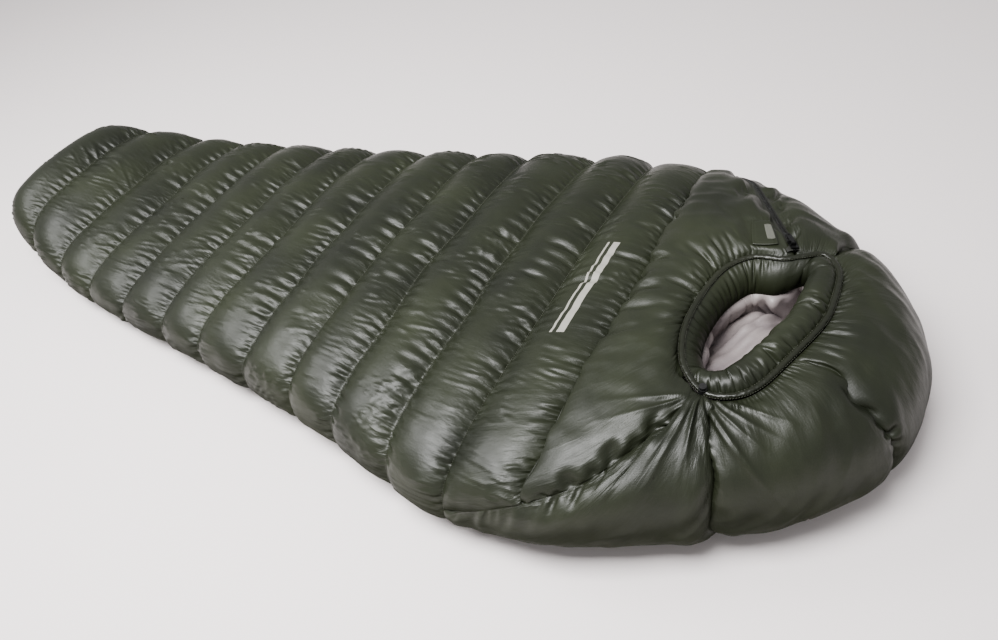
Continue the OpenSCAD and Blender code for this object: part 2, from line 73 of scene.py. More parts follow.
def blend(a, b, slope_a, slope_b, wide, t):
    """Smooth way from a to b over a distance, with a given slope at both ends."""
    return (a * (1 + 2 * t) * (1 - t) ** 2 + slope_a * wide * t * (1 - t) ** 2
            + b * t * t * (3 - 2 * t) - slope_b * wide * t * t * (1 - t))


def hermite(table, at, column):
    """Smooth value of a table's column; column 0 is the place."""
    x, y = table[:, 0], table[:, column]
    slope = np.empty(len(x))
    slope[1:-1] = (y[2:] - y[:-2]) / (x[2:] - x[:-2])
    slope[0] = (y[1] - y[0]) / (x[1] - x[0])
    slope[-1] = (y[-1] - y[-2]) / (x[-1] - x[-2])
    i = np.clip(np.searchsorted(x, at, side="right") - 1, 0, len(x) - 2)
    wide = x[i + 1] - x[i]
    t = np.clip((at - x[i]) / wide, 0, 1)
    return blend(y[i], y[i + 1], slope[i], slope[i + 1], wide, t)


def half_width(u):
    return hermite(PROFILE, u, WIDTH)


def middle_z(u):
    return hermite(PROFILE, u, HEIGHT) / 2


def smooth(t):
    t = np.clip(t, 0, 1)
    return t * t * (3 - 2 * t)


def outwardness(p):
    """How far out a point is, as a share of the envelope: 1 on the crowns of the chambers."""
    u, y, z = p
    ahead = np.maximum(u - HOOD_U, 0)
    angle = np.degrees(np.arctan2(np.abs(y), ahead + 1e-9))
    radius = hermite(HOOD_OUTLINE, angle, 1)
    side = np.where(u < HOOD_U, np.abs(y) / half_width(u), np.hypot(ahead, y) / radius)
    middle = middle_z(u)
    high = (z - middle) / middle
    high = np.where(high < 0, high / SAG, high)
    return (side ** POWER + np.abs(high) ** POWER) ** (1 / POWER)


def gradient(p, step=1e-4):
    parts = []
    for axis in range(3):
        shift = np.zeros((3,) + (1,) * (p.ndim - 1))
        shift[axis] = step
        parts.append((outwardness(p + shift) - outwardness(p - shift)) / (2 * step))
    return np.stack(parts)


def unit(v):
    return v / np.maximum(np.sqrt((v * v).sum(0)), 1e-12)


def run_of(line):
    """Distance along a (3, points) line, from its start to each of its points."""
    return np.r_[0, np.cumsum(np.sqrt((np.diff(line, axis=1) ** 2).sum(0)))]


def look_up(line, run, at):
    """Points of a line where its run has the values at."""
    return np.stack([np.interp(at, run, v) for v in line])


def onto_envelope(p, rounds=4):
    """Moves points along the envelope's slope until they lie on it."""
    p = p.copy()
    for _ in range(rounds):
        g = gradient(p)
        p -= (outwardness(p) - 1) * g / (g * g).sum(0)
    return p


def seam_depth(p):
    """How deep a seam lies below the envelope: less on the sides and least underneath."""
    share = p[2] / (2 * middle_z(p[0]))
    return SEAM_LEAST + (SEAM_DEPTH - SEAM_LEAST) * smooth((share - 0.15) / 0.75)


# ---------------------------------------------------------------- the zip's route, as in the CAD
ZIP = np.array([
    [0.340, 0.274, 0.070], [1.150, 0.378, 0.086], [1.250, 0.398, 0.090], [1.350, 0.421, 0.095],
    [1.450, 0.435, 0.099], [1.530, 0.435, 0.105], [1.600, 0.434, 0.122], [1.660, 0.411, 0.154],
    [1.705, 0.377, 0.186], [1.742, 0.328, 0.210], [1.860, 0.149, 0.243]])
ZIP_OUT = np.array([
    [-0.13, 1, 0], [-0.13, 1, 0], [-0.18, 1, 0.02], [-0.2, 1, 0.05], [-0.1, 1, 0.12],
    [0.05, 1, 0.3], [0.1, 1, 0.55], [0.1, 0.9, 0.9], [0.08, 0.6, 1], [0.02, 0.3, 1],
    [0.02, 0.3, 1]])
ZIP_EDGE = 0.0075                # from the middle of the zip to the edge of the shell


def square_to(out, along):
    """The part of a direction that is square to the way along, as a unit vector."""
    return unit((out - along * (out * along).sum(1, keepdims=True)).T).T


def zip_path(steps=30):
    """The zip's route as a smooth curve: place, outwards and upwards direction."""
    heading = np.empty_like(ZIP)
    heading[1:-1] = ZIP[2:] - ZIP[:-2]
    heading[0] = heading[1] = ZIP[1] - ZIP[0]
    heading[-1] = heading[-2] = ZIP[-1] - ZIP[-2]
    heading = unit(heading.T).T
    out = square_to(ZIP_OUT, heading)
    place, outs = [], []
    for i in range(len(ZIP) - 1):
        t = np.linspace(0, 1, steps, endpoint=i == len(ZIP) - 2)[:, None]
        wide = np.linalg.norm(ZIP[i + 1] - ZIP[i])
        place.append(blend(ZIP[i], ZIP[i + 1], heading[i], heading[i + 1], wide, t))
        outs.append(out[i] * (1 - smooth(t)) + out[i + 1] * smooth(t))
    place = np.vstack(place)
    along = unit(np.gradient(place, axis=0).T).T
    out = square_to(np.vstack(outs), along)
    return place, out, np.cross(along, out)


ZIP_PATH = zip_path()


def zip_line(shift, count=None, at_u=None, deep=0.001):
    """Points beside the zip: shift is across it, towards the top for a positive value."""
    place, out, up = ZIP_PATH
    line = place + up * shift - out * deep
    if at_u is not None:
        return look_up(line.T, line[:, 0], at_u)
    run = np.r_[0, np.cumsum(np.linalg.norm(np.diff(line, axis=0), axis=1))]
    return look_up(line.T, run, np.linspace(0, run[-1], count))


# ---------------------------------------------------------------- cross-sections of the body
def signed_power(v, power):
    return np.sign(v) * np.abs(v) ** power


def section(u, angles):
    """Points of the envelope's cross-section at u, for angles from the right side upwards."""
    c = signed_power(np.cos(angles), 2 / POWER)
    s = signed_power(np.sin(angles), 2 / POWER)
    z = middle_z(u) * (1 + np.where(s < 0, SAG, 1) * s)
    return np.stack([np.full_like(z, u), half_width(u) * c, z])


LEFT_FLOOR = math.pi + math.acos(FLOOR_SHARE ** (POWER / 2))
RIGHT_FLOOR = -math.acos(FLOOR_SHARE ** (POWER / 2))


def angle_of(p):
    """Angle of the cross-section that passes a point."""
    c = signed_power(p[1] / half_width(p[0]), POWER / 2)
    s = signed_power(p[2] / middle_z(p[0]) - 1, POWER / 2)
    return math.atan2(s, c)


def right_angle(u):
    """Angle at which the top panels end: on the zip, or on the side seam below it."""
    if u < ZIP[0, 0]:
        return 0.0
    return angle_of(zip_line(0, at_u=u))


def spread(u, first, last, share):
    """Points of the cross-section at u from angle first to angle last, by share of its length."""
    dense = section(u, np.linspace(first, last, 240))
    run = run_of(dense)
    return look_up(dense, run, share * run[-1])


# ---------------------------------------------------------------- noise
def waves(shape_u, shape_v, seed, lengths, count=14):
    """Smooth noise of about -1 to 1 over two coordinates in metres."""
    rng = np.random.default_rng(seed)
    total = np.zeros(np.broadcast(shape_u, shape_v).shape)
    for _ in range(count):
        length = rng.uniform(*lengths)
        turn = rng.uniform(0, 2 * math.pi)
        phase = rng.uniform(0, 2 * math.pi)
        reach = 2 * math.pi / length
        total += np.sin(reach * (shape_u * math.cos(turn) + shape_v * math.sin(turn)) + phase)
    return total / math.sqrt(count / 2)


# ---------------------------------------------------------------- cloth solver
def spans(p):
    """Lengths along the rows, along the columns and along both diagonals of a grid."""
    def length(d):
        return np.sqrt((d * d).sum(0))
    return [length(p[:, 1:] - p[:, :-1]), length(p[:, :, 1:] - p[:, :, :-1]),
            length(p[:, 1:, 1:] - p[:, :-1, :-1]), length(p[:, 1:, :-1] - p[:, :-1, 1:])]


def unevenness(p):
    """Four times the way from each inner point of a grid to the middle of its neighbours."""
    return (p[:, 2:, 1:-1] + p[:, :-2, 1:-1] + p[:, 1:-1, 2:] + p[:, 1:-1, :-2]
            - 4 * p[INNER])


def sewn_round(rows, columns):
    """Marks the points on the four sides of a grid as sewn down."""
    pinned = np.ones((rows, columns), bool)
    pinned[1:-1, 1:-1] = False
    return pinned


def pull(a, b, rest, stretch, squeeze):
    """Moves two sets of points together or apart until they are their rest length apart."""
    d = b - a
    size = np.sqrt((d * d).sum(0)) + 1e-9
    share = (size - rest) / size
    share *= np.where(share > 0, 0.5 * stretch, 0.5 * squeeze)
    d *= share
    a += d
    b -= d


def unbend(p):
    """Resists sharp bends along both directions of the grid."""
    for axis in (1, 2):
        q = np.moveaxis(p, axis, 1)
        bend = q[:, :-2] - 2 * q[:, 1:-1] + q[:, 2:]
        q[:, 2:-2] -= BEND / 16 * (bend[:, :-2] - 2 * bend[:, 1:-1] + bend[:, 2:])


SWEEPS = 2                       # rounds of pulling the cloth to its length in each step
KEPT_SPEED = 0.85                # share of its speed that the cloth keeps from step to step
PUSH, HOOD_PUSH = 0.000008, 0.0000055       # how far the filling pushes the cloth in each step
LINING_PUSH = 0.000002           # the same for the lining of the back
BEND = 0.3                       # resistance to sharp bends
JITTER, RIPPLE = 0.0012, 0.0012  # unevenness that the cloth starts with


def settle(start, pinned, along_rows, along_columns, steps=500, push=PUSH, seed=1, low=GROUND):
    """Blows a sewn-down panel up and lets it settle.

    start is a (3, rows, columns) grid, pinned the points that are sewn down; along_rows and
    along_columns say by how much the cloth is longer than the start shape in each direction.
    """
    rest = [r.astype(np.float32) for r in spans(start)]
    up_rest = rest[0] * (1 + (along_rows[1:] + along_rows[:-1]) / 2)
    side_rest = rest[1] * (1 + (along_columns[:, 1:] + along_columns[:, :-1]) / 2)
    both = (along_rows + along_columns) / 2
    first_rest = rest[2] * (1 + both[1:, 1:])
    second_rest = rest[3] * (1 + both[1:, :-1])
    up_rest, side_rest, first_rest, second_rest = (
        r.astype(np.float32) for r in (up_rest, side_rest, first_rest, second_rest))
    p = start.astype(np.float32)
    fixed = p.copy()
    mask = np.broadcast_to(pinned, p.shape)
    free = (~pinned).astype(np.float32)
    rng = np.random.default_rng(seed)
    p += rng.normal(0, JITTER, p.shape).astype(np.float32) * free
    ripple = waves(start[0], start[1] + start[2], seed + 400, (0.02, 0.06), 24)
    p[2] += (RIPPLE * ripple).astype(np.float32) * free
    for _ in range(3):
        p[INNER] += 0.25 * unevenness(p) * free[1:-1, 1:-1]
    old = p.copy()
    for _ in range(steps):
        p, old = p + KEPT_SPEED * (p - old), p
        du = p[:, 2:, 1:-1] - p[:, :-2, 1:-1]
        dv = p[:, 1:-1, 2:] - p[:, 1:-1, :-2]
        normal = np.cross(du, dv, axis=0)
        normal /= np.sqrt((normal * normal).sum(0)) + 1e-9
        p[INNER] += push * normal
        for _ in range(SWEEPS):
            for first in (0, 1):
                n = (p.shape[1] - first) // 2 * 2
                a, b = p[:, first:first + n:2], p[:, first + 1:first + n:2]
                pull(a, b, up_rest[first::2][:a.shape[1]], 1.0, 0.35)
                n = (p.shape[2] - first) // 2 * 2
                a, b = p[:, :, first:first + n:2], p[:, :, first + 1:first + n:2]
                pull(a, b, side_rest[:, first::2][:, :a.shape[2]], 1.0, 0.7)
            for first in (0, 1):
                n = (p.shape[1] - first) // 2 * 2
                a, b = p[:, first:first + n:2], p[:, first + 1:first + n:2]
                pull(a[..., :-1], b[..., 1:], first_rest[first::2][:a.shape[1]], 0.25, 0.1)
                pull(a[..., 1:], b[..., :-1], second_rest[first::2][:a.shape[1]], 0.25, 0.1)
        unbend(p)
        np.maximum(p[2], low, out=p[2])
        np.copyto(p, fixed, where=mask)
    return p


# ---------------------------------------------------------------- panels of the body
BACK_CROWDING = 0.8              # spreads a back panel's columns so that more are on the side wall


def seam_waver(k, share):
    """How far seam k strays from its place, across the bag."""
    return 0.0025 * (k > 0) * waves(share * 1.2, 0.37 * k, 40 + k, (0.15, 0.6), 6)


def distance_to(lines, gaps, axis, shape):
    """Distance in metres from each row or column of a grid to the nearest of some lines."""
    run = np.r_[0, np.cumsum(gaps)]
    away = np.min(np.abs(run[:, None] - run[list(lines)][None, :]), axis=1)
    return np.broadcast_to(away[:, None] if axis == 0 else away[None, :], shape)


def dip(distance, half):
    """Share of a seam's depth at a distance from it."""
    return np.maximum(0, 1 - distance / half) ** 2.2


def body_panel(first, last, rows, columns, top=True, left=None):
    """Start shape of the chambers from seam first to seam last, and how far each point is sewn."""
    share = np.linspace(0, 1, columns)
    if not top:
        share = share ** BACK_CROWDING
    lines = []
    for k in range(first, last):
        for i in range(0 if k == first else 1, rows + 1):
            t = i / rows
            u = SEAMS[k] * (1 - t) + SEAMS[k + 1] * t
            if top:
                line = spread(u, left(u) if left else LEFT_FLOOR, right_angle(u), share)
            else:
                line = spread(u, LEFT_FLOOR, 2 * math.pi + right_angle(u), share)
            line[0] += seam_waver(k, share) * (1 - t) + seam_waver(k + 1, share) * t
            lines.append(line)
    p = np.stack(lines, axis=1)
    seams = [rows * k for k in range(last - first + 1)]
    gaps = spans(p)
    down, across = gaps[0].mean(1), gaps[1].mean(0)
    near_row = distance_to(seams, down, 0, p.shape[1:])
    near_side = distance_to([0, columns - 1], across, 1, p.shape[1:])
    near_left = distance_to([0], across, 1, p.shape[1:])
    near_right = distance_to([columns - 1], across, 1, p.shape[1:])
    half = near_row.max(axis=0, keepdims=True)
    low = np.maximum(dip(near_row, half), (COLLAR_SEAM if left else 1) * dip(near_left, 0.05))
    p = p - unit(gradient(p)) * seam_depth(p) * low
    edge = zip_line(ZIP_EDGE if top else -ZIP_EDGE, at_u=np.maximum(p[0, :, -1], ZIP[0, 0]))
    shift = (edge - p[:, :, -1]) * smooth((p[0, :, -1] - ZIP[0, 0]) / 0.012)
    shift[0] = 0
    p += shift[:, :, None] * dip(near_right, 0.06)
    p[2] = np.maximum(p[2], GROUND)
    pinned = np.zeros(p.shape[1:], bool)
    pinned[seams] = True
    pinned[:, 0] = pinned[:, -1] = True
    return p, pinned, near_row, near_side


# ---------------------------------------------------------------- panels of the hood
# rim of the face opening, from the left corner round the chin to the forehead, as in the CAD
RIM = np.array([
    [1.820, -0.174], [1.779, -0.139], [1.757, -0.090], [1.749, -0.036], [1.753, 0.032],
    [1.767, 0.086], [1.800, 0.121], [1.846, 0.128], [1.872, 0.143], [1.905, 0.161],
    [1.935, 0.128], [1.944, 0.062], [1.941, 0.005], [1.917, -0.074], [1.892, -0.138],
    [1.862, -0.168]])
MUFF_EDGE = np.array([
    [1.815, -0.134], [1.793, -0.122], [1.772, -0.084], [1.764, -0.034], [1.768, 0.028],
    [1.781, 0.074], [1.806, 0.104], [1.845, 0.110], [1.864, 0.122], [1.882, 0.131],
    [1.897, 0.110], [1.896, 0.060], [1.890, 0.008], [1.867, -0.066], [1.850, -0.104],
    [1.835, -0.126]])
CORNER = 0.35                    # half the left corner's share of the rim, in rim points
HOOD_SEAM = 0.42                 # depth of the hood's seams, as a share of the body's
GROOVE = 0.0045                  # how far the hood's panels start below the rim
TEMPLE_AT, CROWN_AT, FAR_TEMPLE_AT, ZIP_AT = 16 - CORNER, 13.0, 9.3, 7.8
RIM_EDGE = 0.006                 # from the rim line to the hood's panels
FLOOR_Z = 0.004                  # height of the hood's floor seam


def through(a, b, c, d, t):
    """Points of a smooth curve through four points, between the middle two."""
    return (0.5 * (2 * b + (c - a) * t + (2 * a - 5 * b + 4 * c - d) * t * t
                   + (3 * b - a - 3 * c + d) * t ** 3)).T


def around(table, at):
    """Point of a closed smooth curve through a table's points."""
    n = len(table)
    i = np.floor(at).astype(int)
    t = (at - i)[:, None]
    return through(*(table[(i + k) % n] for k in (-1, 0, 1, 2)), t)


def rim_height(u, y):
    side = np.minimum(np.abs(y) / half_width(u), 0.999)
    return middle_z(u) * (1 + 0.97 * (1 - side ** POWER) ** (1 / POWER))


def rim_line(at, out=0.0, up=0.0):
    """Points of the rim of the face opening, moved outwards and up."""
    at = np.asarray(at, float)
    here = around(RIM, at)
    run = unit(around(RIM, at + 0.15) - around(RIM, at - 0.15))
    u, y = here + np.stack([-run[1], run[0]]) * out
    return np.stack([u, y, rim_height(*here) + up])


def resample(line, count):
    """The same line with count points at equal distances."""
    run = run_of(line)
    return look_up(line, run, np.linspace(0, run[-1], count))


def curve_through(points, count=120):
    """Smooth open curve through a few points."""
    q = np.array(points, float)
    q = np.vstack([2 * q[0] - q[1], q, 2 * q[-1] - q[-2]])
    at = np.linspace(0, len(points) - 1 - 1e-6, 300)
    i = at.astype(int)
    t = (at - i)[:, None]
    return resample(through(*(q[i + k] for k in range(4)), t), count)


def radial(p):
    """Moves points straight away from the bag's middle onto the envelope."""
    p = p.copy()
    middle = middle_z(p[0])
    share = outwardness(p)
    ahead = np.maximum(p[0] - HOOD_U, 0)
    p[0] += ahead / share - ahead
    p[1] /= share
    p[2] = middle + (p[2] - middle) / share
    return p


def lowered(line, share=1.0):
    """Moves a line on the envelope inwards by a share of the seam's depth."""
    low = line - unit(gradient(line)) * seam_depth(line) * share
    low[2] = np.maximum(low[2], GROUND)
    return low


def hood_edge(first, last, count):
    """Part of the line round the opening at which the hood's panels begin."""
    return rim_line(np.linspace(first, last, count), RIM_EDGE, -GROOVE)


def hood_edge_point(at):
    return hood_edge(at, at, 1)[:, 0]


def sunk(line, start, share):
    """A seam: its line on the envelope, lowered by the seam's depth, and tied to its start."""
    low = lowered(onto_envelope(line), share)
    tie = np.maximum(0, 1 - np.linspace(0, 6, low.shape[1])) ** 2
    return low + (start[:, None] - low[:, :1]) * tie


def floor_point(u, side):
    return [u, side * FLOOR_SHARE * float(half_width(np.array(u))), FLOOR_Z]


def floor_line(first, last, count, side):
    """Floor seam of the hood along one side, between two distances from the foot."""
    return np.array([floor_point(u, side) for u in np.linspace(first, last, count)]).T


def floor_round(first, last, count=80):
    """Left, crown or right floor seam of the hood between two directions in degrees."""
    turn = np.linspace(first, last, count)
    radius = FLOOR_SHARE * hermite(HOOD_OUTLINE, np.abs(turn), 1)
    return np.stack([HOOD_U + radius * np.cos(np.radians(turn)),
                     radius * np.sin(np.radians(turn)), np.full(count, FLOOR_Z)])


def coons(first_row, last_row, first_column, last_column):
    """Grid of points between four curves that meet at the corners."""
    rows, columns = first_column.shape[1], first_row.shape[1]
    s = np.linspace(0, 1, rows)[None, :, None]
    t = np.linspace(0, 1, columns)[None, None, :]
    a, b = first_row[:, None, :], last_row[:, None, :]
    c, d = first_column[:, :, None], last_column[:, :, None]
    corners = ((1 - s) * (1 - t) * a[:, :, :1] + (1 - s) * t * a[:, :, -1:]
               + s * (1 - t) * b[:, :, :1] + s * t * b[:, :, -1:])
    return (1 - s) * a + s * b + (1 - t) * c + t * d - corners


def even_columns(p):
    """Spreads the points of each column of a grid evenly along it."""
    return np.stack([resample(p[:, :, j], p.shape[1]) for j in range(p.shape[2])], axis=2)


def corner_folds(p, seed=3):
    """Folds that fan out from the near corner of the face opening, where the drawcord gathers it."""
    rng = np.random.default_rng(seed)
    corner = rim_line([0.0], RIM_EDGE)[:, 0]
    ahead = p[0] - corner[0]
    down = -(p[1] - corner[1]) - 0.9 * (p[2] - corner[2])
    away = np.hypot(ahead, down)
    turn = np.arctan2(ahead, down)
    height = np.zeros(away.shape)
    for at in np.radians([-62, -44, -30, -19, -9, -2, 5, 12, 20, 29, 38, 48, 60, 74, 90]):
        at += rng.uniform(-0.05, 0.05)
        reach, size = rng.uniform(0.055, 0.15), rng.uniform(0.003, 0.0065)
        bend = at + rng.uniform(-0.5, 0.5) * away
        aside = np.where(np.cos(turn - bend) > 0, away * np.sin(turn - bend), 1)
        width = 0.0030 + 0.020 * away
        height += (1.3 * size * (1 + (aside / width) ** 2) ** -1.5 * smooth(away / 0.03)
                   * np.exp(-(away / reach) ** 2))
    return height - 0.0035 * smooth(1 - away / 0.12) * smooth(away / 0.03)


def soft_folds(p, seed):
    """Long slack folds of the hood, in metres of height."""
    round_girth = p[1] - 0.8 * p[2]
    first = waves(p[0] * 0.5, round_girth * 1.3, seed + 500, (0.045, 0.12), 16)
    second = waves(p[0], round_girth, seed + 600, (0.03, 0.07), 16)
    return 0.0016 * first + 0.0007 * second - 0.0022 * np.maximum(0, first - 0.6)


def hood_panel(rows, columns, deep_rows, quiet, seed, first_row, last_row, first_column,
               last_column):
    """Start shape of a hood panel that is sewn down on its four sides.

    deep_rows is how deep its first and last row's seams are, and quiet is 1 for a first or last
    column whose seam doesn't gather the cloth near the opening.
    """
    first_row, last_row = resample(first_row, columns), resample(last_row, columns)
    first_column, last_column = resample(first_column, rows), resample(last_column, rows)
    sides = (first_row, last_row, first_column, last_column)
    p = coons(*sides)
    p[INNER] = radial(p[INNER])
    for _ in range(12):
        p = even_columns(p)
        for _ in range(4):
            p[INNER] += 0.25 * unevenness(p)
        p[INNER] = radial(p[INNER])
    p[:, 0], p[:, -1], p[:, :, 0], p[:, :, -1] = sides
    gaps = spans(p)
    down, across = np.cumsum(gaps[0], axis=0), np.cumsum(gaps[1], axis=1)
    down, across = np.pad(down, ((1, 0), (0, 0))), np.pad(across, ((0, 0), (1, 0)))
    near_top, near_bottom = down, down[-1:] - down
    near_left, near_right = across, across[:, -1:] - across
    down_share = np.linspace(0, 1, rows)[:, None]
    calm = [q * (1 - smooth((down_share - 0.15) / 0.2)) for q in quiet]
    low = np.maximum(HOOD_SEAM * np.maximum(dip(near_left, 0.045) * (1 - calm[0]),
                                            dip(near_right, 0.045) * (1 - calm[1])),
                     np.maximum(deep_rows[0] * dip(near_top, 0.03),
                                deep_rows[1] * dip(near_bottom, 0.05)))
    near = np.minimum(np.minimum(near_top, near_bottom), np.minimum(near_left, near_right))
    lift = soft_folds(p, seed) * smooth(near / 0.03) - seam_depth(p) * low
    p[INNER] = (p + unit(gradient(p)) * lift)[INNER]
    near_left = near_left + 0.12 * calm[0]
    near_right = near_right + 0.12 * calm[1]
    p[2] = np.maximum(p[2], GROUND)
    return (p, sewn_round(rows, columns), np.minimum(near_top, near_bottom),
            np.minimum(near_left, near_right))


COLLAR = [[1.497, -0.441, 0.098], [1.525, -0.436, 0.108], [1.591, -0.421, 0.138],
          [1.650, -0.397, 0.162], [1.711, -0.359, 0.187], [1.750, -0.307, 0.208],
          [1.783, -0.256, 0.221], [1.810, -0.215, 0.230]]
TEMPLE = [[1.846, -0.222, 0.226], [1.862, -0.262, 0.207], [1.872, -0.288, 0.165],
          [1.877, -0.295, 0.100], [1.877, -0.270, 0.030]]
CROWN = [[1.955, -0.078, 0.236], [1.988, -0.082, 0.231], [2.028, -0.094, 0.219],
         [2.052, -0.100, 0.169], [2.066, -0.090, 0.100], [2.050, -0.080, 0.030]]
FAR_TEMPLE = [[1.925, 0.195, 0.226], [1.942, 0.232, 0.200], [1.955, 0.252, 0.150],
              [1.958, 0.255, 0.090], [1.945, 0.235, 0.025]]


def hood_seam(at, points, floor_turn, fade=0.0):
    """Seam from the rim down to the floor; fade makes it shallow near the rim."""
    start = hood_edge_point(at)
    end = floor_round(floor_turn, floor_turn, 1)[:, 0]
    line = curve_through([list(start)] + points + [list(end)])
    run = np.linspace(0, 1, line.shape[1])
    share = 1 - fade * (1 - smooth((run - 0.16) / 0.2))
    waver = 0.003 * waves(run, 0 * run, int(100 * at), (0.08, 0.3), 6)
    waver = waver * smooth(run / 0.2) * smooth((1 - run) / 0.2)
    line = sunk(line + np.stack([waver, waver, 0 * waver]), start, HOOD_SEAM * share)
    lift = unit(gradient(line)) * 0.0045 * fade * smooth(run / 0.05)
    return line + lift * (1 - smooth((run - 0.16) / 0.14))


def collar_seam(body_last):
    """The collar's seam, from the near corner of the opening down to the body's last seam."""
    corner = hood_edge_point(CORNER)
    collar = sunk(curve_through(COLLAR + [list(corner)], 240)[:, ::-1], corner, COLLAR_SEAM)
    near = np.argmin(((body_last - collar[:, -1:]) ** 2).sum(0))
    tie = smooth((np.linspace(0, 1, collar.shape[1]) - 0.88) / 0.12)
    return collar + (body_last[:, near:near + 1] - collar[:, -1:]) * tie


def hood_panels(body_last, chest_last):
    """The collar chamber, both cheeks and the two crown panels, between their seams.

    body_last is the last seam of the body's top, and chest_last the seam before the chin.
    """
    temple_turn, crown_turn, far_turn = -73.0, -12.0, 62.0       # degrees, at the floor
    temple = hood_seam(TEMPLE_AT, TEMPLE, temple_turn)
    crown = hood_seam(CROWN_AT, CROWN, crown_turn, fade=1.0)
    far_temple = hood_seam(FAR_TEMPLE_AT, FAR_TEMPLE, far_turn)
    collar = collar_seam(body_last)
    junction = np.argmin(np.abs(collar[0] - chest_last[0, 0]))
    chest_side = collar[:, :junction + 1].copy()
    chest_side[:, -1] = chest_last[:, 0]
    zip_end = hood_edge_point(ZIP_AT)
    zip_top = zip_line(ZIP_EDGE, 200)
    start = int(np.argmin(np.abs(zip_top[0] - chest_last[0, -1])))
    zip_top = np.c_[chest_last[:, -1:], zip_top[:, start + 1:-6], zip_end]
    chin = hood_edge(CORNER, ZIP_AT, 160)
    yield "chest", chest_last, chin, chest_side[:, ::-1], zip_top

    lower = body_last[:, :int(np.argmin(np.abs(body_last[2, :60] - collar[2, -1]))) + 1]
    floor = floor_line(SEAMS[11] + 0.01, HOOD_U, 40, -1)
    outer = np.c_[collar[:, -1:], lower[:, -2::-1], floor, floor_round(-89, temple_turn, 30)]
    outer[:, -1] = temple[:, -1]
    yield "left_cheek", hood_edge(CORNER, -CORNER, 20), outer, collar, temple

    outer = floor_round(temple_turn, crown_turn)
    outer[:, 0], outer[:, -1] = temple[:, -1], crown[:, -1]
    yield "left_crown", hood_edge(TEMPLE_AT, CROWN_AT, 60), outer, temple, crown

    outer = floor_round(crown_turn, far_turn)
    outer[:, 0], outer[:, -1] = crown[:, -1], far_temple[:, -1]
    yield "right_crown", hood_edge(CROWN_AT, FAR_TEMPLE_AT, 80), outer, crown, far_temple

    zip_back = zip_line(-ZIP_EDGE, 200)
    start = int(np.argmin(np.abs(zip_back[0] - SEAMS[12])))
    zip_back = np.c_[zip_end, zip_back[:, start:-6][:, ::-1]]
    wall = spread(SEAMS[12], angle_of(zip_back[:, -1]), RIGHT_FLOOR, np.linspace(0, 1, 40))
    wall = sunk(wall, zip_back[:, -1], 0.7)
    floor = floor_line(HOOD_U, SEAMS[12] + 0.01, 20, 1)
    outer = np.c_[floor_round(far_turn, 89, 30), floor, wall[:, ::-1]]
    outer[:, 0] = far_temple[:, -1]
    yield "right_cheek", hood_edge(FAR_TEMPLE_AT, ZIP_AT, 30), outer, far_temple, zip_back


def fabric_excess(p, near_row, near_side, edge=0.13, fade=0.019, crown=0.009, side=0.08,
                  slack=0.0075, seed=1):
    """Extra length of the cloth along the rows and along the columns of a panel.

    The cloth is gathered by the seams: edge and side are the extra length right at a seam, and
    fade is how far that reaches. crown and slack are the extra length away from the seams.
    """
    round_girth = p[1] + np.where(p[2] < 0.05, 0, p[2])
    patchy = waves(p[0], round_girth, seed + 100, (0.035, 0.11))
    reach = fade * np.exp(0.55 * waves(p[0], round_girth, seed + 200, (0.03, 0.12)))
    loose = 1 + 0.9 * waves(p[0], round_girth, seed + 300, (0.05, 0.16))
    strength = np.maximum(0.15, 1 + 0.6 * patchy)
    along_columns = crown * loose + edge * strength * np.exp(-near_row / reach)
    high = smooth((p[2] - 0.05) / 0.11)
    along_rows = slack * loose * high + side * strength * np.exp(-near_side / reach)
    return along_rows, along_columns


# ---------------------------------------------------------------- foot end, muff and lining
FOOT_BULGE = 0.022               # how far the foot end swells out


def foot_panel(size=46):
    """The panel that closes the foot end, across the first seam."""
    def arc(first, last):
        line = section(SEAMS[0], np.radians(np.linspace(first, last, 60)))
        return resample(lowered(line), size)
    sides = arc(45, 135), arc(-45, -135), arc(45, -45), arc(135, 225)
    p = coons(*sides)
    inwards = np.minimum(np.arange(size), np.arange(size)[::-1])
    away = np.minimum.outer(inwards, inwards) / (size / 2)
    p[0] -= FOOT_BULGE * np.sin(np.clip(away, 0, 1) * math.pi / 2)
    near = away * size / 2 * float(spans(p)[0].mean())
    return p, sewn_round(size, size), near, near


def back_hood_panel(rows=40, columns=60):
    """The back of the hood, which lies on the ground."""
    edge = np.c_[floor_line(SEAMS[12], HOOD_U, 12, 1), floor_round(89, 0, 40)]
    right = resample(edge, rows)
    left = right * np.array([[1], [-1], [1]])
    share = np.linspace(-1, 1, columns)[None, None, :]
    p = (right[:, :, None] + left[:, :, None]) / 2 + (right - left)[:, :, None] / 2 * share
    bumps = waves(p[0], p[1], 77, (0.08, 0.3))
    p[2] = GROUND + 0.003 + 0.002 * bumps
    return p[:, :, ::-1]


START = 9.0                      # the rings round the opening begin at its far corner
MUFF_ROLL, MUFF_DEEP = 0.30, 0.045


def muff_ring(at, share):
    """Points between the rim line (share 0) and the inner edge of the muff (share 1)."""
    rim = rim_line(at, -0.004)
    inner = around(MUFF_EDGE, at)
    u, y = rim[:2] * (1 - share) + inner * share
    return np.stack([u, y, rim[2]])


def forehead(at):
    """1 on the forehead side of the opening, where the muff is a roll; 0 along the chin."""
    at = np.asarray(at) % 16
    return np.where(at < 5, 1 - smooth((at - 0.1) / 1.1), smooth((at - 8.3) / 1.3))


def between_rings(rings, rows):
    """Panel through a few rings of points, sewn down at its edges."""
    columns = rings[0].shape[1]
    p = np.stack([curve_through([r[:, j] for r in rings], rows) for j in range(columns)], axis=2)
    near = distance_to([0, rows - 1], spans(p)[0].mean(1), 0, (rows, columns))
    return p, sewn_round(rows, columns), near, np.full((rows, columns), FAR)


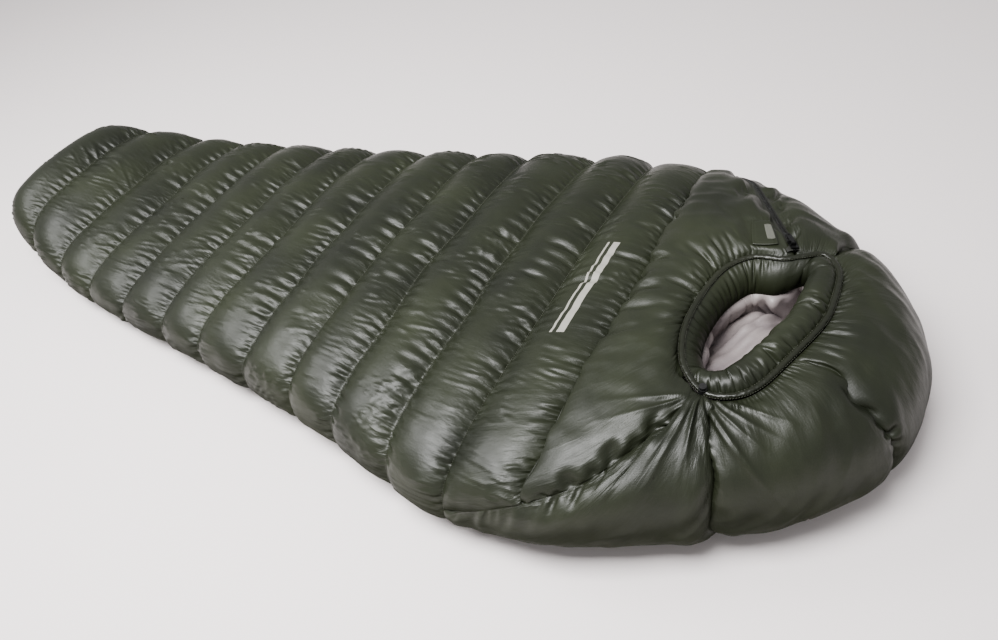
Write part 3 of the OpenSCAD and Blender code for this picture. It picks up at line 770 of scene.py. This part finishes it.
def muff_panel(rows=34, columns=560):
    """The muff: a roll of down over the forehead and a smooth facing that slopes in at the chin."""
    at = START + np.linspace(0, 16, columns)
    wide = np.sqrt(((muff_ring(at, 1) - muff_ring(at, 0))[:2] ** 2).sum(0))
    roll = MUFF_ROLL * wide
    brow = forehead(at)
    # share and height of the roll, then share and height of the facing
    stations = [(0.0, -0.003, 0.0, -0.003), (0.22, 0.75 * roll, 0.35, -0.004),
                (0.62, roll, 0.8, -0.013), (0.98, 0.1 * roll, 1.25, -0.027),
                (0.95, -0.45 * MUFF_DEEP, 1.6, -0.042), (0.80, -MUFF_DEEP, 1.9, -0.058)]
    rings = []
    for share, lift, flat_share, flat_lift in stations:
        ring = muff_ring(at, share * brow + flat_share * (1 - brow))
        ring[2] += lift * brow + flat_lift * (1 - brow)
        rings.append(ring)
    p, pinned, near, far = between_rings(rings, rows)
    return p, pinned, near + 0.03 * (1 - brow)[None, :], far


def lining_wall(lower, rows=26):
    """The lining below the muff, from the muff's last ring down into the hood."""
    middle = lower.mean(axis=1, keepdims=True)
    away = unit(lower[:2] - middle[:2])
    rings = []
    for out, deep in ((0, 0), (0.012, 0.02), (0.022, 0.055), (0.012, 0.095), (-0.02, 0.12)):
        ring = lower.copy()
        ring[:2] += away * out
        ring[2] -= deep
        rings.append(ring)
    return between_rings(rings, rows)


def lining_back(rows=90, columns=120):
    """The lining of the hood's back, where the head lies."""
    u = np.linspace(1.70, 2.00, rows)[:, None] + np.zeros((1, columns))
    y = np.linspace(-0.23, 0.22, columns)[None, :] + np.zeros((rows, 1))
    edge = np.maximum(np.abs((u - 1.85) / 0.15), np.abs(y / 0.23))
    z = 0.125 - 0.03 * edge ** 4 + 0.010 * waves(u, y, 5, (0.09, 0.22))
    near = (1 - np.clip(edge, 0, 1)) * 0.15
    return np.stack([u, y, z]), sewn_round(rows, columns), near, near


# ---------------------------------------------------------------- swept trim
def across_up(along):
    """Sideways and upwards direction at each point of a line, from its direction."""
    side = unit(np.cross(along, UP, axis=0))
    return side, np.cross(side, along, axis=0)


def sweep(name, line, radius, sides, material, closed=False, flat=1.0, puckers=0.0, seed=1):
    """A tube along a line; flat squeezes it, puckers gathers its surface."""
    along = np.gradient(line, axis=1)
    if closed:
        along = (np.roll(line, -1, 1) - np.roll(line, 1, 1)) / 2
    side, up = across_up(unit(along))
    turn = np.linspace(0, 2 * math.pi, sides, endpoint=False)
    gather = waves(run_of(line)[None, :], 0.01 * turn[:, None], seed, (0.006, 0.016))
    r = radius * (1 + puckers * gather)
    p = (line[:, None, :] + side[:, None, :] * np.cos(turn)[None, :, None] * r
         + up[:, None, :] * np.sin(turn)[None, :, None] * r * flat)
    p = p.transpose(0, 2, 1)
    if closed:
        p = np.concatenate([p, p[:, :1]], axis=1)
    return tube_object(name, p, material, caps=not closed)


# ---------------------------------------------------------------- meshes
def placed(name, data):
    """Puts an object with this data into the scene."""
    made = bpy.data.objects.new(name, data)
    bpy.context.scene.collection.objects.link(made)
    return made


def mesh_object(name, points, faces, material, soft=True):
    mesh = bpy.data.meshes.new(name)
    mesh.from_pydata(points, [], faces)
    mesh.materials.append(material)
    mesh.polygons.foreach_set("use_smooth", np.full(len(mesh.polygons), soft))
    return placed(name, mesh)


def reworked(piece, work):
    """Changes a piece's mesh with bmesh, and leaves its faces pointing outwards."""
    build = bmesh.new()
    build.from_mesh(piece.data)
    work(build)
    bmesh.ops.recalc_face_normals(build, faces=build.faces)
    build.to_mesh(piece.data)
    build.free()
    return piece


def weld(build):
    """Joins points that lie in the same place."""
    bmesh.ops.remove_doubles(build, verts=build.verts, dist=1e-5)


def close_ends(build):
    bmesh.ops.holes_fill(build, edges=[e for e in build.edges if e.is_boundary], sides=200)
    bmesh.ops.triangulate(build, faces=[f for f in build.faces if len(f.verts) > 4])


def tube_object(name, p, material, caps=True):
    """Mesh object of rings that are closed round their columns; p is (3, rings, sides)."""
    rows, sides = p.shape[1:]
    points = p.reshape(3, -1).T.copy()
    points[:, 0] -= MIDDLE
    i, j = np.meshgrid(np.arange(rows - 1), np.arange(sides), indexing="ij")
    a, b = (i * sides + j).ravel(), (i * sides + (j + 1) % sides).ravel()
    faces = np.stack([a, b, b + sides, a + sides], axis=1).tolist()
    if caps:
        faces += [list(range(sides))[::-1], list(range((rows - 1) * sides, rows * sides))]
    piece = mesh_object(name, points.tolist(), faces, material)
    return piece if caps else reworked(piece, weld)


def grid_object(name, p, near, material, close_rows=False):
    """Mesh object of a (3, rows, columns) grid given in u, y and z."""
    rows, columns = p.shape[1:]
    points = p.reshape(3, -1).T.astype(float).copy()
    points[:, 0] -= MIDDLE
    i, j = np.meshgrid(np.arange(rows - 1), np.arange(columns - 1), indexing="ij")
    a = (i * columns + j).ravel()
    faces = np.stack([a, a + 1, a + columns + 1, a + columns], axis=1)
    if close_rows:
        i = np.arange(rows - 1)
        a = i * columns + columns - 1
        faces = np.r_[faces, np.stack([a, i * columns, (i + 1) * columns, a + columns], axis=1)]
    mesh = bpy.data.meshes.new(name)
    mesh.vertices.add(len(points))
    mesh.vertices.foreach_set("co", points.astype(np.float32).ravel())
    mesh.loops.add(faces.size)
    mesh.loops.foreach_set("vertex_index", faces.astype(np.int32).ravel())
    mesh.polygons.add(len(faces))
    mesh.polygons.foreach_set("loop_start", np.arange(0, faces.size, 4, dtype=np.int32))
    mesh.update(calc_edges=True)
    mesh.validate()
    mesh.polygons.foreach_set("use_smooth", np.ones(len(faces), bool))
    gaps = spans(p)
    v = np.r_[0, np.cumsum(gaps[0].mean(1))]
    across = np.r_[0, np.cumsum(gaps[1].mean(0))]
    uv = np.stack([np.broadcast_to(across[None, :], (rows, columns)),
                   np.broadcast_to(v[:, None], (rows, columns))], axis=-1).reshape(-1, 2)
    layer = mesh.uv_layers.new(name="cloth")
    layer.data.foreach_set("uv", uv[faces.ravel()].astype(np.float32).ravel())
    if near is not None:
        attribute = mesh.attributes.new("seam", "FLOAT", "POINT")
        attribute.data.foreach_set("value", np.exp(-near / 0.02).astype(np.float32).ravel())
    mesh.materials.append(material)
    return placed(name, mesh)


# ---------------------------------------------------------------- materials
def linear(hex_colour):
    """Scene-linear colour of a hex sRGB colour."""
    parts = [int(hex_colour[i:i + 2], 16) / 255 for i in (1, 3, 5)]
    return [c / 12.92 if c <= 0.04045 else ((c + 0.055) / 1.055) ** 2.4 for c in parts] + [1.0]


def node(tree, kind, **values):
    """Adds a node; values with a name of one of its inputs set that input."""
    made = tree.nodes.new(kind)
    for key, value in values.items():
        name = key.replace("_", " ")
        if name in made.inputs:
            made.inputs[name].default_value = value
        else:
            setattr(made, key, value)
    return made


def new_material(name):
    material = bpy.data.materials.new(name)
    material.use_nodes = True
    tree = material.node_tree
    tree.nodes.clear()
    shader = tree.nodes.new("ShaderNodeBsdfPrincipled")
    output = tree.nodes.new("ShaderNodeOutputMaterial")
    tree.links.new(shader.outputs[0], output.inputs[0])
    return material, tree, shader


def chain(tree, kind, *values):
    """A math node's result; each value is a number or another node's output."""
    made = node(tree, "ShaderNodeMath", operation=kind)
    for place, value in enumerate(values):
        if isinstance(value, (int, float)):
            made.inputs[place].default_value = value
        else:
            tree.links.new(value, made.inputs[place])
    return made.outputs[0]


def noise(tree, place, scale, detail, **values):
    """Noise at a place, which is another node's output."""
    made = node(tree, "ShaderNodeTexNoise", Scale=scale, Detail=detail, **values)
    tree.links.new(place, made.inputs["Vector"])
    return made.outputs["Fac"]


def bumped(tree, height, strength, distance):
    """A bump node with its height linked."""
    made = node(tree, "ShaderNodeBump", Strength=strength, Distance=distance)
    tree.links.new(height, made.inputs["Height"])
    return made


def ramp(tree, factor, low, high, start=0.3, end=0.7):
    made = tree.nodes.new("ShaderNodeValToRGB")
    made.color_ramp.elements[0].position, made.color_ramp.elements[1].position = start, end
    made.color_ramp.elements[0].color, made.color_ramp.elements[1].color = linear(low), linear(high)
    tree.links.new(factor, made.inputs["Fac"])
    return made.outputs["Color"]


WEAVE = 1570.0                   # radians per metre of the ripstop grid: a line every 4 mm


def shell_material(name="shell_nylon", low="#12150c", high="#1f2315", rough=0.43, bars=None):
    """Thin glossy nylon; bars is the two pale bars of print: middle and half sizes."""
    material, tree, shader = new_material(name)
    link = tree.links.new
    uv = node(tree, "ShaderNodeUVMap", uv_map="cloth")
    place = tree.nodes.new("ShaderNodeTexCoord")
    colour = ramp(tree, noise(tree, place.outputs["Object"], 7.0, 5.0), low, high)
    fine = noise(tree, place.outputs["Object"], 60.0, 2.0)
    roughness = chain(tree, "MULTIPLY_ADD", fine, 0.14, rough - 0.07)
    # the sides, which face the bright floor, are duller than the top
    facing = tree.nodes.new("ShaderNodeSeparateXYZ")
    link(place.outputs["Normal"], facing.inputs[0])
    upward = node(tree, "ShaderNodeMapRange", interpolation_type="SMOOTHSTEP", From_Min=-0.1,
                  From_Max=0.65)
    link(facing.outputs[2], upward.inputs["Value"])
    upward = upward.outputs["Result"]
    link(chain(tree, "MULTIPLY_ADD", upward, 0.30, 0.03), shader.inputs["Specular IOR Level"])
    dull = chain(tree, "MULTIPLY_ADD", upward, -0.25, 0.25)
    link(chain(tree, "ADD", roughness, dull), shader.inputs["Roughness"])
    # crinkles: long ones across the seams, fine ones, and the ripstop grid of the weave
    stretched = node(tree, "ShaderNodeMapping")
    stretched.inputs["Scale"].default_value = (1.0, 0.32, 1.0)
    link(uv.outputs["UV"], stretched.inputs["Vector"])
    crinkle = noise(tree, stretched.outputs["Vector"], 52.0, 3.0, Roughness=0.5)
    ridge = chain(tree, "ABSOLUTE", chain(tree, "SUBTRACT", crinkle, 0.5))
    seam = node(tree, "ShaderNodeAttribute", attribute_name="seam")
    strength = chain(tree, "MULTIPLY_ADD", seam.outputs["Fac"], 0.85, 0.16)
    first = bumped(tree, chain(tree, "MULTIPLY", ridge, strength), 0.6, 0.012)
    small = noise(tree, uv.outputs["UV"], 330.0, 2.0)
    split = tree.nodes.new("ShaderNodeSeparateXYZ")
    link(uv.outputs["UV"], split.inputs[0])
    weave = []
    for k in (0, 1):
        wave = chain(tree, "SINE", chain(tree, "MULTIPLY", split.outputs[k], WEAVE))
        weave.append(chain(tree, "GREATER_THAN", wave, 0.93))
    grid = chain(tree, "MULTIPLY", chain(tree, "MAXIMUM", *weave), 0.22)
    second = bumped(tree, chain(tree, "ADD", small, grid), 0.22, 0.0006)
    link(first.outputs["Normal"], second.inputs["Normal"])
    link(second.outputs["Normal"], shader.inputs["Normal"])
    if bars:
        inside = []
        for middle, halves in bars:
            near = []
            for k in (0, 1):
                off = chain(tree, "ABSOLUTE", chain(tree, "SUBTRACT", split.outputs[k], middle[k]))
                near.append(chain(tree, "LESS_THAN", off, halves[k]))
            inside.append(chain(tree, "MULTIPLY", *near))
        mix = node(tree, "ShaderNodeMix", data_type="RGBA")
        link(chain(tree, "MAXIMUM", *inside), mix.inputs["Factor"])
        link(colour, mix.inputs[6])
        mix.inputs[7].default_value = linear("#8a8880")
        colour = mix.outputs[2]
    link(colour, shader.inputs["Base Color"])
    return material


def liner_material():
    material, tree, shader = new_material("liner_fabric")
    link = tree.links.new
    shader.inputs["Roughness"].default_value = 0.45
    place = tree.nodes.new("ShaderNodeTexCoord")
    cloud = noise(tree, place.outputs["Object"], 14.0, 3.0)
    link(ramp(tree, cloud, "#71686a", "#877e7c"), shader.inputs["Base Color"])
    uv = node(tree, "ShaderNodeUVMap", uv_map="cloth")
    crinkle = noise(tree, uv.outputs["UV"], 60.0, 3.0)
    link(bumped(tree, crinkle, 0.4, 0.003).outputs["Normal"], shader.inputs["Normal"])
    return material


def plain_material(name, low, high, rough, metal=0.0, scale=160.0, bump=0.1, stripes=None):
    """Metal, plastic, cord or tape; stripes is (axis, lines per metre) of a ribbed surface."""
    material, tree, shader = new_material(name)
    link = tree.links.new
    place = tree.nodes.new("ShaderNodeTexCoord")
    height = noise(tree, place.outputs["Object"], scale, 4.0)
    link(ramp(tree, height, low, high), shader.inputs["Base Color"])
    shader.inputs["Metallic"].default_value = metal
    link(chain(tree, "MULTIPLY_ADD", height, 0.2, rough - 0.1), shader.inputs["Roughness"])
    if stripes:
        split = tree.nodes.new("ShaderNodeSeparateXYZ")
        link(place.outputs["Object"], split.inputs[0])
        axis, per_metre = stripes
        turn = chain(tree, "MULTIPLY", split.outputs[axis], per_metre * 6.283)
        height = chain(tree, "MULTIPLY_ADD", height, 0.3, chain(tree, "SINE", turn))
    link(bumped(tree, height, bump, 0.0006).outputs["Normal"], shader.inputs["Normal"])
    return material


# ---------------------------------------------------------------- camera, floor and light
def camera():
    target = Vector((0.33, -0.05, 0.10))
    azimuth, elevation, roll, distance = (math.radians(39.1), math.radians(45.1),
                                          math.radians(-13.8), 1.58)
    back = Vector((math.sin(azimuth) * math.cos(elevation),
                   -math.cos(azimuth) * math.cos(elevation), math.sin(elevation)))
    level = (-back).cross(Vector((0, 0, 1))).normalized()
    above = level.cross(-back)
    right = math.cos(roll) * level + math.sin(roll) * above
    up = -math.sin(roll) * level + math.cos(roll) * above
    data = bpy.data.cameras.new("camera")
    data.lens = 30.3
    eye = placed("camera", data)
    turn = Matrix((right, up, back)).transposed().to_4x4()
    eye.matrix_world = Matrix.Translation(target + back * distance) @ turn
    bpy.context.scene.camera = eye


def area_light(name, place, target, size, power):
    data = bpy.data.lights.new(name, "AREA")
    data.shape = "RECTANGLE"
    data.size, data.size_y = size
    data.energy = power
    light = placed(name, data)
    light.location = place
    light.rotation_mode = "QUATERNION"
    light.rotation_quaternion = (Vector(target) - Vector(place)).to_track_quat("-Z", "Y")


def studio():
    world = bpy.data.worlds.new("studio")
    bpy.context.scene.world = world
    world.use_nodes = True
    sky = world.node_tree.nodes["Background"].inputs
    sky["Color"].default_value, sky["Strength"].default_value = (0.80, 0.79, 0.80, 1), 0.67
    area_light("key", (0.30, -0.85, 2.3), (0.0, -0.1, 0.1), (1.4, 0.9), 155)
    area_light("left", (-1.5, -0.6, 2.1), (-0.5, -0.1, 0.1), (1.2, 1.0), 60)
    material, _, shader = new_material("studio_floor")
    shader.inputs["Base Color"].default_value = linear("#f1e9e8")
    shader.inputs["Roughness"].default_value = 0.7
    reach = 9
    corners = [(-reach, -reach, 0), (reach, -reach, 0), (reach, reach, 0), (-reach, reach, 0)]
    mesh_object("studio_floor", corners, [(0, 1, 2, 3)], material, soft=False)


# ---------------------------------------------------------------- build
camera()
studio()
nylon = shell_material()
trim = shell_material("shell_trim", "#12140d", "#1b1d14", 0.33)


def raised(p, height, low):
    """Moves the inner points of a grid along its normals."""
    p = p.astype(float)
    du, dv = np.gradient(p, axis=1), np.gradient(p, axis=2)
    p[INNER] += (unit(np.cross(du, dv, axis=0)) * height)[INNER]
    p[2] = np.maximum(p[2], low)
    return p


def under_flap(p):
    """Presses the cloth down below the guard flap."""
    middle, half = np.array([1.800, 0.173]), (0.033, 0.023)
    off = p[:2] - middle[:, None, None]
    x = np.abs(np.tensordot(np.array([-0.316, 0.949]), off, 1))      # along the flap
    y = np.abs(np.tensordot(np.array([0.88, 0.48]), off, 1))         # across the flap
    away = np.hypot(np.maximum(x - half[0], 0), np.maximum(y - half[1], 0))
    limit = 0.2422 + 0.30 * away + 8 * away ** 2
    sharp = 900                  # per metre: how abruptly the cloth meets the limit
    p[2] -= np.logaddexp(0, (p[2] - limit) * sharp) / sharp
    return p


def lining_folds(p):
    """Soft folds of the lining that fan out from the far corner of the opening."""
    ahead, aside = p[0] - 1.90, p[1] - 0.17
    away = np.hypot(ahead, aside)
    turn = np.arctan2(aside, ahead)
    return 0.0035 * waves(turn * 0.4, 0.25 * away, 91, (0.035, 0.12), 16) * smooth(away / 0.08)


def hood_folds(p):
    return corner_folds(p) + 0.5 * soft_folds(p, 17)


def body_creases(p):
    """Fine creases that run across the chambers, in patches."""
    girth = p[1] - np.where(p[2] > 0.02, p[2], 0) * np.sign(p[1] + 1e-9)
    patches = smooth(0.45 + 0.6 * waves(p[0], girth, 701, (0.07, 0.22)))
    lean = 0.3 * waves(p[0], girth, 703, (0.2, 0.5), 6)
    fine = waves(p[0] * 0.28 + girth * lean * 0.3, girth, 702, (0.011, 0.026), 26)
    fine = np.clip(fine, -0.7, 1.5)
    return 0.0008 * patches * fine * np.abs(fine)


def collar_angle(u):
    line = curve_through(COLLAR)
    return angle_of(look_up(line, line[0], u)) % (2 * math.pi)


seam_lines = []


def piece_on(piece, body, slot, *nodes, fill=None):
    """Lets a piece ride on a body and stand for CAD nodes; fill is not used."""
    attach(piece, body)
    if nodes:
        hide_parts(*nodes)


def shell_piece(name, panel, replaced, steps=500, material=None, seed=1, low=GROUND, fill=0.8,
                slot="shell_nylon", push=PUSH, bars=None, relief=None, **excess):
    """Settles a panel and makes the piece that stands for CAD nodes."""
    p, pinned, near_row, near_side = panel
    rows_extra, columns_extra = fabric_excess(p, near_row, near_side, seed=seed, **excess)
    p = settle(p, pinned, rows_extra, columns_extra, seed=seed, steps=steps, low=low, push=push)
    if relief is not None:
        p = raised(p, relief(p) * smooth(np.minimum(near_row, near_side) / 0.012), low)
    if name == "chest_cloth":
        p = under_flap(p)
    piece = grid_object(name, p, np.minimum(near_row, near_side), material or nylon)
    if name.startswith("shell"):
        for row in np.flatnonzero(pinned.all(axis=1))[1:]:
            seam_lines.append(p[:, row, 2:-2].astype(float))
    if bars:
        piece.data.materials[0] = shell_material("shell_nylon_print", bars=bars(p))
    piece_on(piece, "bag", slot, *replaced, fill=fill)
    return p


def print_bars(p):
    """Two plain pale bars of print on the chest chamber, beside its middle."""
    across = np.r_[0, np.cumsum(spans(p)[1].mean(0))]
    row = p[1, p.shape[1] // 2]
    ends = [float(np.interp(y, row, across)) for y in (-0.13, 0.10)]
    middle, half = (ends[0] + ends[1]) / 2, (ends[1] - ends[0]) / 2
    deep = float(spans(p)[0].mean(1).sum())
    return [((middle, 0.50 * deep), (half, 0.0065)),
            ((middle, 0.50 * deep - 0.0165), (half, 0.0022))]


def chambers(side, first, last):
    """Names of the chambers between two seams."""
    return [f"{side}_chamber_{k + 1:02d}" for k in range(first, last)]


for name, first, last, columns, replaced, seed in (
        ("shell_foot", 0, 4, 250, ["left_side_baffle"], 3), ("shell_middle", 4, 8, 300, [], 4),
        ("shell_shoulder", 8, 11, 380, [], 5)):
    settled = shell_piece(name, body_panel(first, last, 40, columns),
                          chambers("top", first, last) + replaced, seed=seed, relief=body_creases)
body_last = settled[:, -1]


def chest_panel():
    """The chest chamber, tied to the body's last seam and to the collar's seam."""
    p, *rest = body_panel(11, 12, 42, 360, left=collar_angle)
    collar = collar_seam(body_last)[:, ::-1]
    shift = look_up(collar, collar[0], p[0, :, 0]) - p[:, :, 0]
    reach = np.maximum(0, 1 - np.linspace(0, 9, p.shape[2])) ** 2
    p += shift[:, :, None] * reach
    near = np.argmin(((body_last - collar[:, :1]) ** 2).sum(0))
    first = resample(body_last[:, near:], p.shape[2]) - p[:, 0]
    p += first[:, None, :] * np.maximum(0, 1 - np.linspace(0, 4, p.shape[1]))[None, :, None]
    return p, *rest


chest_last = shell_piece("shell_chest", chest_panel(), chambers("top", 11, 12), seed=6,
                         bars=print_bars, relief=body_creases)[:, -1]
# rows, columns, depth of the first and last row's seams, quiet columns, CAD nodes
HOOD = {"chest": (80, 340, (1, 0.5), (0, 0), ["top_chamber_13"]),
        "left_cheek": (170, 150, (0.5, 1), (0, 0), ["hood_left_cheek"]),
        "left_crown": (170, 180, (0.3, 1), (0, 1), ["hood_left_crown"]),
        "right_crown": (150, 180, (0.3, 1), (1, 0), ["hood_right_crown"]),
        "right_cheek": (120, 120, (0.5, 1), (0, 0), ["hood_right_cheek", "right_shoulder_baffle"])}
for name, *sides in hood_panels(body_last, chest_last):
    *layout, replaced = HOOD[name]
    shell_piece(name + "_cloth", hood_panel(*layout, len(name), *sides), replaced, seed=7,
                push=HOOD_PUSH, relief=hood_folds, crown=0.004, slack=0.002, edge=0.15, side=0.17,
                fade=0.024)
shell_piece("foot_end", foot_panel(), ["foot_end_panel"], seed=8)


for name, first, last, replaced in (
        ("back_foot", 0, 4, ["right_side_baffle"]), ("back_middle", 4, 8, ["back_baffle_walls"]),
        ("back_shoulder", 8, 12, ["top_baffle_walls", "right_draft_tube"])):
    shell_piece(name, body_panel(first, last, 20, 130, top=False),
                chambers("back", first, last) + replaced, seed=20 + first, steps=300)
piece_on(grid_object("hood_back", back_hood_panel(), None, nylon), "bag", "shell_nylon",
         "hood_back_panel", "back_chamber_13", fill=0.6)
muff = shell_piece("muff", muff_panel(), ["face_muff"], seed=11, low=0, steps=400, edge=0.22,
                   fade=0.012, crown=0.05)
liner = dict(low=0, material=liner_material(), slot="liner_fabric", fill=0.3, steps=250,
             relief=lining_folds)
shell_piece("hood_lining", lining_wall(muff[:, -1]), ["hood_liner", "draft_collar"], seed=12,
            edge=0.1, **liner)
shell_piece("hood_lining_back", lining_back(), ["liner_top", "liner_back"], seed=13, edge=0.05,
            crown=0.03, push=LINING_PUSH, **liner)


# ---------------------------------------------------------------- rim, drawcord and stitching
cord_fibre = plain_material("cord", "#141412", "#24241f", 0.6, scale=500, bump=0.6)
thread = plain_material("thread", "#26281c", "#34362a", 0.55, scale=900, bump=0.4)
rim = rim_line(START + np.linspace(0, 16, 1400, endpoint=False), 0.0, 0.0)
piece_on(sweep("rim_tunnel", rim, 0.0047, 14, trim, closed=True, flat=0.72, puckers=0.07, seed=31),
         "bag", "shell_nylon", "rim_channel")
cord_run = rim_line(START + np.linspace(0, 16, 900, endpoint=False), 0.0, -0.0015)
piece_on(sweep("drawcord_run", cord_run, 0.0016, 8, cord_fibre, closed=True, puckers=0.1, seed=32),
         "bag", "cord", "drawcord")


def stitches(name, lines, material, pitch=0.0042, length=0.003, radius=0.0005, lift=0.0005):
    """Rows of thread stitches; each line is (3, points)."""
    rings = []
    for line in lines:
        run = run_of(line)
        starts = np.arange(0.002, run[-1] - length - 0.001, pitch)
        for share, high in ((0.0, -0.3), (0.3, 1.0), (0.7, 1.0), (1.0, -0.3)):
            middle = look_up(line, run, starts + share * length)
            ahead = look_up(line, run, starts + share * length + 0.001)
            side, up = across_up(unit(ahead - middle))
            middle = middle + up * lift * high
            rings.append(np.stack([middle + radius * (side * math.cos(a) + up * math.sin(a))
                                   for a in (0.4, 1.97, 3.54, 5.11)]))
    points = []
    for k in range(0, len(rings), 4):
        block = np.stack(rings[k:k + 4])                 # 4 rings, 4 sides, 3, stitches
        points.append(block.transpose(3, 0, 1, 2).reshape(-1, 16, 3))
    points = np.concatenate(points)
    one = [(r * 4 + i, r * 4 + (i + 1) % 4, r * 4 + 4 + (i + 1) % 4, r * 4 + 4 + i)
           for r in range(3) for i in range(4)] + [(3, 2, 1, 0), (12, 13, 14, 15)]
    faces = (np.array(one)[None] + 16 * np.arange(len(points))[:, None, None]).reshape(-1, 4)
    points = points.reshape(-1, 3)
    points[:, 0] -= MIDDLE
    return mesh_object(name, points.tolist(), faces.tolist(), material)


around_rim = START + np.linspace(0, 16, 1400)
rim_rows = [rim_line(around_rim, 0.0052, -0.001), rim_line(around_rim, -0.0046, 0.0003)]
piece_on(stitches("rim_stitching", rim_rows, thread), "bag", "shell_nylon")
piece_on(stitches("seam_stitching", seam_lines, thread, lift=0.0012), "bag", "shell_nylon")

# ---------------------------------------------------------------- zip
tape_cloth = plain_material("zip_tape", "#10110c", "#1a1b14", 0.7, scale=700, bump=0.4,
                            stripes=(0, 900))
coil_nylon = plain_material("zip_teeth", "#0c0c0b", "#161614", 0.35, scale=300, bump=0.05)


# outline of a tape's cross-section: distance from the zip's middle, depth
TAPE = ((0.0030, 0.0004), (0.0036, 0.0009), (0.0075, 0.0010), (0.0125, 0.0032), (0.0125, 0.0040),
        (0.0075, 0.0018), (0.0036, 0.0017), (0.0030, 0.0012))
COIL_WIDE, COIL_TALL, COIL_WIRE = 0.0017, 0.00105, 0.00036


def zip_sheet(name, node_name, side):
    """A zip tape: flat woven band from beside the coil to under the shell."""
    p = np.stack([zip_line(side * shift, 900, deep=deep) for shift, deep in TAPE], axis=2)
    if side < 0:
        p = p[:, :, ::-1]
    piece_on(tube_object(name, p, tape_cloth), "bag", "zip_tape", node_name)


def zip_coil(name, node_name, side, pitch=0.0016, turns_per=7):
    """A continuous coil of teeth along the zip's middle."""
    place, out, up = ZIP_PATH
    run = np.r_[0, np.cumsum(np.linalg.norm(np.diff(place, axis=0), axis=1))]
    at = np.arange(0.004, run[-1] - 0.004, pitch / turns_per)
    turn = 2 * math.pi * at / pitch + (0 if side > 0 else math.pi)
    middle, outwards, upwards = (look_up(f.T, run, at) for f in (place, out, up))
    line = (middle + upwards * side * (0.0016 + COIL_WIDE * np.cos(turn))
            + outwards * COIL_TALL * np.sin(turn))
    piece_on(sweep(name, line, COIL_WIRE, 4, coil_nylon), "bag", "zip_teeth", node_name)


for make, kind in ((zip_sheet, "tape"), (zip_coil, "coil")):
    for place, side in (("top", 1), ("back", -1)):
        make(f"{kind}_of_{place}", f"zip_{kind}_{place}", side)

# ---------------------------------------------------------------- guard flap over the zip's end
FLAP = np.array([[1.792, 0.137], [1.772, 0.197], [1.802, 0.207], [1.834, 0.152]])
FLAP_Z = 0.245
FLAP_SIZE = (0.065, 0.036)


def flap_grid(height, span=((0, 1), (0, 1)), rows=26, columns=36):
    """Rounded patch over a part of the flap's outline; height gives its z by distance to the edge."""
    s = np.linspace(-1, 1, columns)[None, :]
    t = np.linspace(-1, 1, rows)[:, None]
    x = s * np.sqrt(1 - 0.12 * t * t * np.abs(s))
    y = t * np.sqrt(1 - 0.12 * s * s * np.abs(t))
    x, y = (low + (high - low) * (v + 1) / 2 for v, (low, high) in zip((x, y), span))
    a, b, c, d = FLAP
    corner = (a[:, None, None] * (1 - x) * (1 - y) + b[:, None, None] * x * (1 - y)
              + c[:, None, None] * x * y + d[:, None, None] * (1 - x) * y)
    edge = np.minimum(np.minimum(x, 1 - x) * FLAP_SIZE[0], np.minimum(y, 1 - y) * FLAP_SIZE[1])
    return np.stack([corner[0], corner[1], height(edge)])


def closed_patch(name, top, under, material):
    """A closed soft sheet from its upper and its lower grid."""
    p = np.concatenate([top, under[:, :, ::-1]], axis=2)
    return reworked(grid_object(name, p, None, material, close_rows=True), close_ends)


top = flap_grid(lambda e: FLAP_Z + 0.0002 + 0.0014 * smooth(e / 0.004)
                - 0.0009 * np.exp(-((e - 0.0045) / 0.0011) ** 2))
under = flap_grid(lambda e: FLAP_Z - 0.0010 - 0.0002 * smooth(e / 0.004))
piece_on(closed_patch("guard_flap_cloth", top, under, nylon), "guard_flap", "shell_nylon",
         "zip_guard_flap")
hook = plain_material("hook_patch", "#46473f", "#56574e", 0.75, scale=900, bump=0.7, stripes=(1, 420))
HOOK = ((0.2, 0.8), (0.60, 0.93))        # the part of the flap that it covers
top, under = (flap_grid(lambda e: np.full_like(e, FLAP_Z + high), HOOK, 10, 14)
              for high in (0.0023, 0.0010))
piece_on(closed_patch("hook_strip", top, under, hook), "guard_flap", "zip_tape")

# ---------------------------------------------------------------- hard parts of the CAD
metal = plain_material("slider_metal", "#0d0d0d", "#181818", 0.28, metal=0.7, scale=240, bump=0.05)
plastic = plain_material("lock_plastic", "#0b0b0b", "#151515", 0.36, scale=400, bump=0.12)
steel = plain_material("spring_steel", "#8b8b8b", "#a5a5a5", 0.3, metal=1.0, scale=300, bump=0.02)
FINISH = {"zip_end_stops": metal, "zip_slider_upper": metal, "zip_slider_lower": metal,
          "pull_tab_upper": metal, "pull_tab_lower": metal, "cord_lock_body": plastic,
          "cord_lock_button": plastic, "cord_lock_spring": steel}
for name, material in FINISH.items():
    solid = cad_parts[name]
    solid.data.materials.clear()
    solid.data.materials.append(material)
    if name != "cord_lock_spring":
        bevel = solid.modifiers.new("edges", "BEVEL")
        bevel.width, bevel.segments, bevel.limit_method = 0.00035, 2, "ANGLE"
        bevel.harden_normals = True
